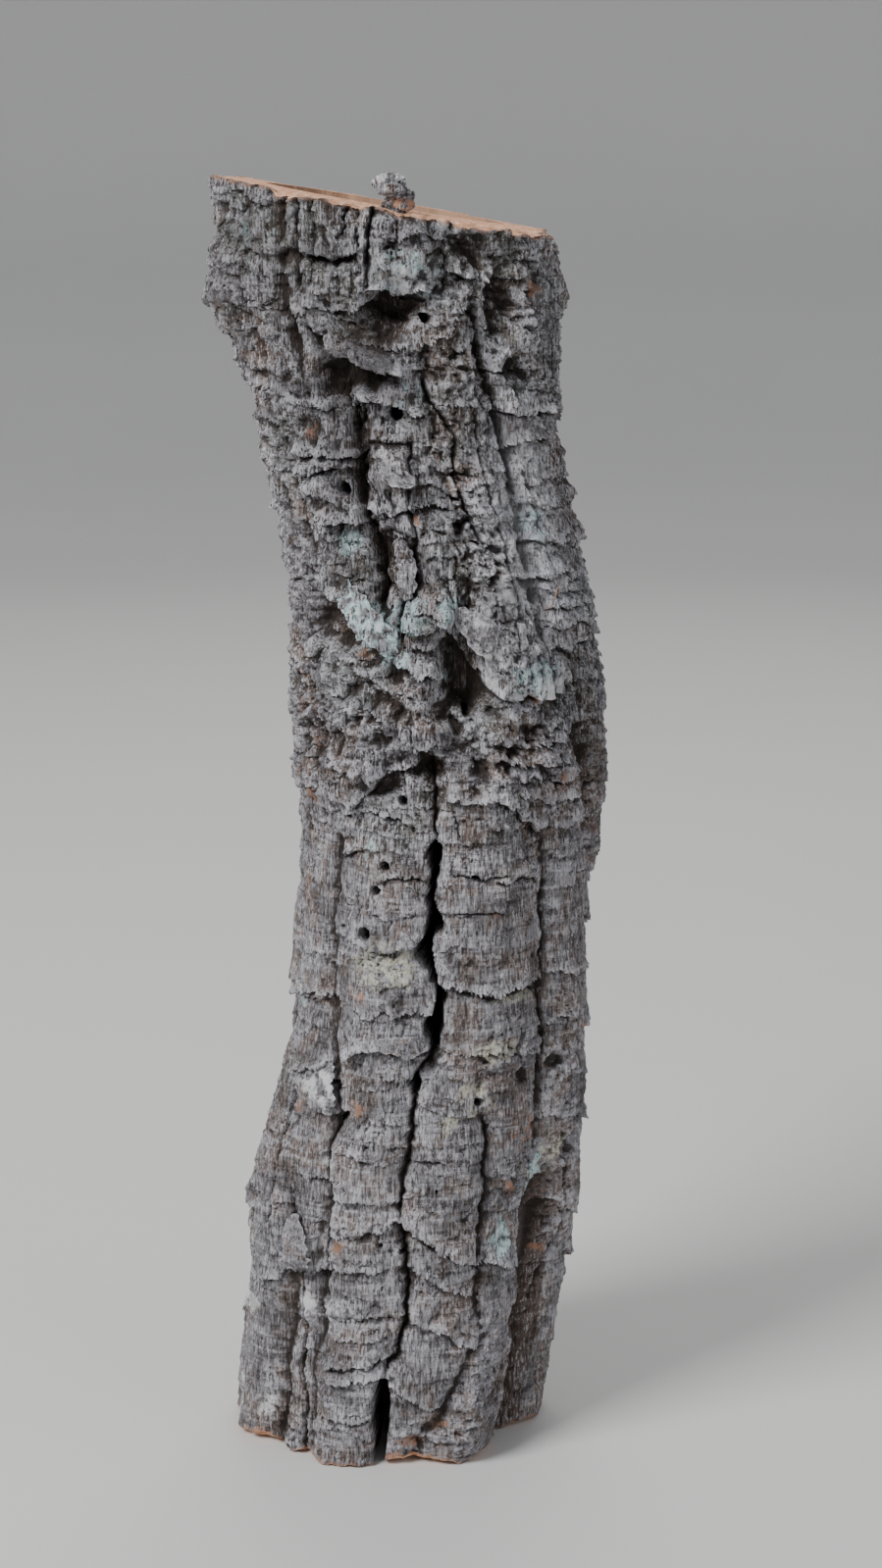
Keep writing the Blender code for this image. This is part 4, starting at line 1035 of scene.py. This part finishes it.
cutColours = {"fresh": (0.8, 0.49, 0.33), "deep": (0.54, 0.27, 0.155), "pore": (0.09, 0.042, 0.026),
              "skin": (0.11, 0.085, 0.07)}


def cutFinish():
    look = Finish("sawn_cork", 0.88)
    away, drop, _ = look.mark("tone")
    grain = look.noise((260, 260, 260), 4, 0.6)
    pores = look.grains((330, 330, 330))
    rings = look.noise((60, 60, 60), 3, 0.5)
    wave = look.node("ShaderNodeMath", {"operation": "SINE"}, {0: away * 62.0 + rings * 9.0})
    colour = look.mix(grain.between(0.35, 0.65), cutColours["fresh"], cutColours["deep"])
    colour = look.mix(wave.between(0.55, 1.0) * 0.35, colour, cutColours["deep"])
    colour = look.mix(pores.between(0.22, 0.1) * 0.8, colour, cutColours["pore"])
    skin = away.between(0.1, 0.02) * 0.8 * (1 - drop.between(0.2, 0.8))
    colour = look.mix(skin, colour, cutColours["skin"])
    look.feed("Base Color", colour)
    look.feed("Roughness", 0.8 + 0.15 * grain)
    look.feed("Normal", look.bump(grain + pores * 0.5, 0.001, 0.8))
    return look.material


boreColours = {"inner": (0.2, 0.105, 0.062), "dark": (0.06, 0.034, 0.022), "dust": (0.33, 0.21, 0.135)}


def boreFinish():
    look = Finish("inner_cork", 0.92)
    height, ridge, _ = look.mark("tone")
    streaks = look.noise((300, 300, 16), 4, 0.6)
    patches = look.noise((40, 40, 26), 4, 0.6)
    colour = look.mix(patches.between(0.35, 0.68), boreColours["inner"], boreColours["dark"])
    colour = look.mix(streaks.between(0.5, 0.68) * 0.7, colour, boreColours["dust"])
    # painted shade in the grooves between ridges
    colour = look.mix(ridge.between(0.5, 0.1) * 0.6, colour, boreColours["dark"])
    colour = look.mix(height.between(0.9, 1.0) * 0.55, colour, cutColours["fresh"])
    look.feed("Base Color", colour)
    look.feed("Roughness", 0.84 + 0.1 * patches)
    look.feed("Normal", look.bump(streaks, 0.0012, 0.8))
    return look.material


# floor, light and camera, in metres and degrees

studio = {
    # the floor rises far away: distance, height
    "bowl": [(0, 0), (2.4, 0), (3.2, 0.02), (4.0, 0.25), (4.8, 0.9), (5.2, 1.8), (5.4, 3.2)],
    "floorColour": (0.72, 0.71, 0.695), "sky": (0.86, 0.9, 0.96), "skyStrength": 0.34,
    # place, size, power, colour
    "lamps": [((-1.7, -1.5, 2.3), 1.1, 91, (0.99, 0.99, 0.99)),
              ((1.9, -1.3, 1.3), 1.8, 9, (0.93, 0.96, 1.0)),
              ((0.2, 1.6, 2.2), 1.6, 22, (1.0, 0.98, 0.95))],
    "lampsAimAt": (0, 0, 0.3),
}
view = {"place": (0.0145, -1.352, 0.622), "down": 12.7, "lens": 67.2, "sensor": 36}


def floorFinish():
    look = Finish("pale_floor", 0.85)
    mottle = look.noise((3.0, 3.0, 3.0), 4, 0.5)
    darker = [0.95 * value for value in studio["floorColour"]]
    look.feed("Base Color", look.mix(mottle, studio["floorColour"], darker))
    return look.material


def addStudio():
    spin = np.linspace(0, 2 * math.pi, 96, endpoint=False)
    profile = np.array(studio["bowl"], float)
    away = np.linspace(0.01, profile[-1, 0], 60)[:, None]
    up = smoothBetween(away, profile[:, 0], profile[:, 1])
    points = packed(away * np.cos(spin), away * np.sin(spin), up)
    faces = gridFaces(len(away), len(spin)).tolist() + [list(range(len(spin)))]
    mesh = bpy.data.meshes.new("floor")
    mesh.from_pydata(points.reshape(-1, 3).tolist(), [], faces)
    mesh.polygons.foreach_set("use_smooth", np.ones(len(faces), bool))
    mesh.materials.append(floorFinish())
    floor = placed("floor", mesh)
    floor.location.z = -0.0002
    world = bpy.data.worlds.new("soft_sky")
    world.use_nodes = True
    sky = world.node_tree.nodes["Background"]
    sky.inputs["Color"].default_value = (*studio["sky"], 1)
    sky.inputs["Strength"].default_value = studio["skyStrength"]
    bpy.context.scene.world = world
    for number, (place, size, power, colour) in enumerate(studio["lamps"]):
        light = bpy.data.lights.new(f"lamp_{number}", "AREA")
        light.size, light.energy, light.color = size, power, colour
        lamp = placed(light.name, light)
        lamp.location = place
        towards = Vector(studio["lampsAimAt"]) - Vector(place)
        lamp.rotation_euler = towards.to_track_quat("-Z", "Y").to_euler()


def addCamera():
    camera = bpy.data.cameras.new("camera")
    camera.lens, camera.sensor_width = view["lens"], view["sensor"]
    holder = placed("camera", camera)
    holder.location = view["place"]
    holder.rotation_euler = (math.radians(90 - view["down"]), 0, 0)
    bpy.context.scene.camera = holder


addCamera()
addStudio()
print("camera, floor and light")

bark = makeBark()
markBark(bark)
print("relief worked out on", bark["turn"].size, "points")

barkMaterial, cutMaterial = barkFinish(), cutFinish()
pieces = addBark(bark, barkMaterial)
bore, borePoints = addBore(bark, boreFinish())
pieces.append(bore)
print("bark and bore")

cuts = [("top_cut", -1, branch["topAtAxis"], branch["topSlope"]), ("base_cut", 0, 0.0, 0.0)]
for name, row, level, slope in cuts:
    inner = innerRim(borePoints[row], len(bark["angle"]))
    whole = bark["open"][row] < 0.5
    pieces.append(addCut(name, bark["points"][row], inner, whole, level, slope, cutMaterial))
print("sawn ends")

for number, (name, about) in enumerate(flakes.items()):
    pieces.append(addFlake(name, about, 401 + 20 * number, barkMaterial))
print("flakes")

for piece in pieces:
    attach(piece, "root")
    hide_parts("cork_branch")
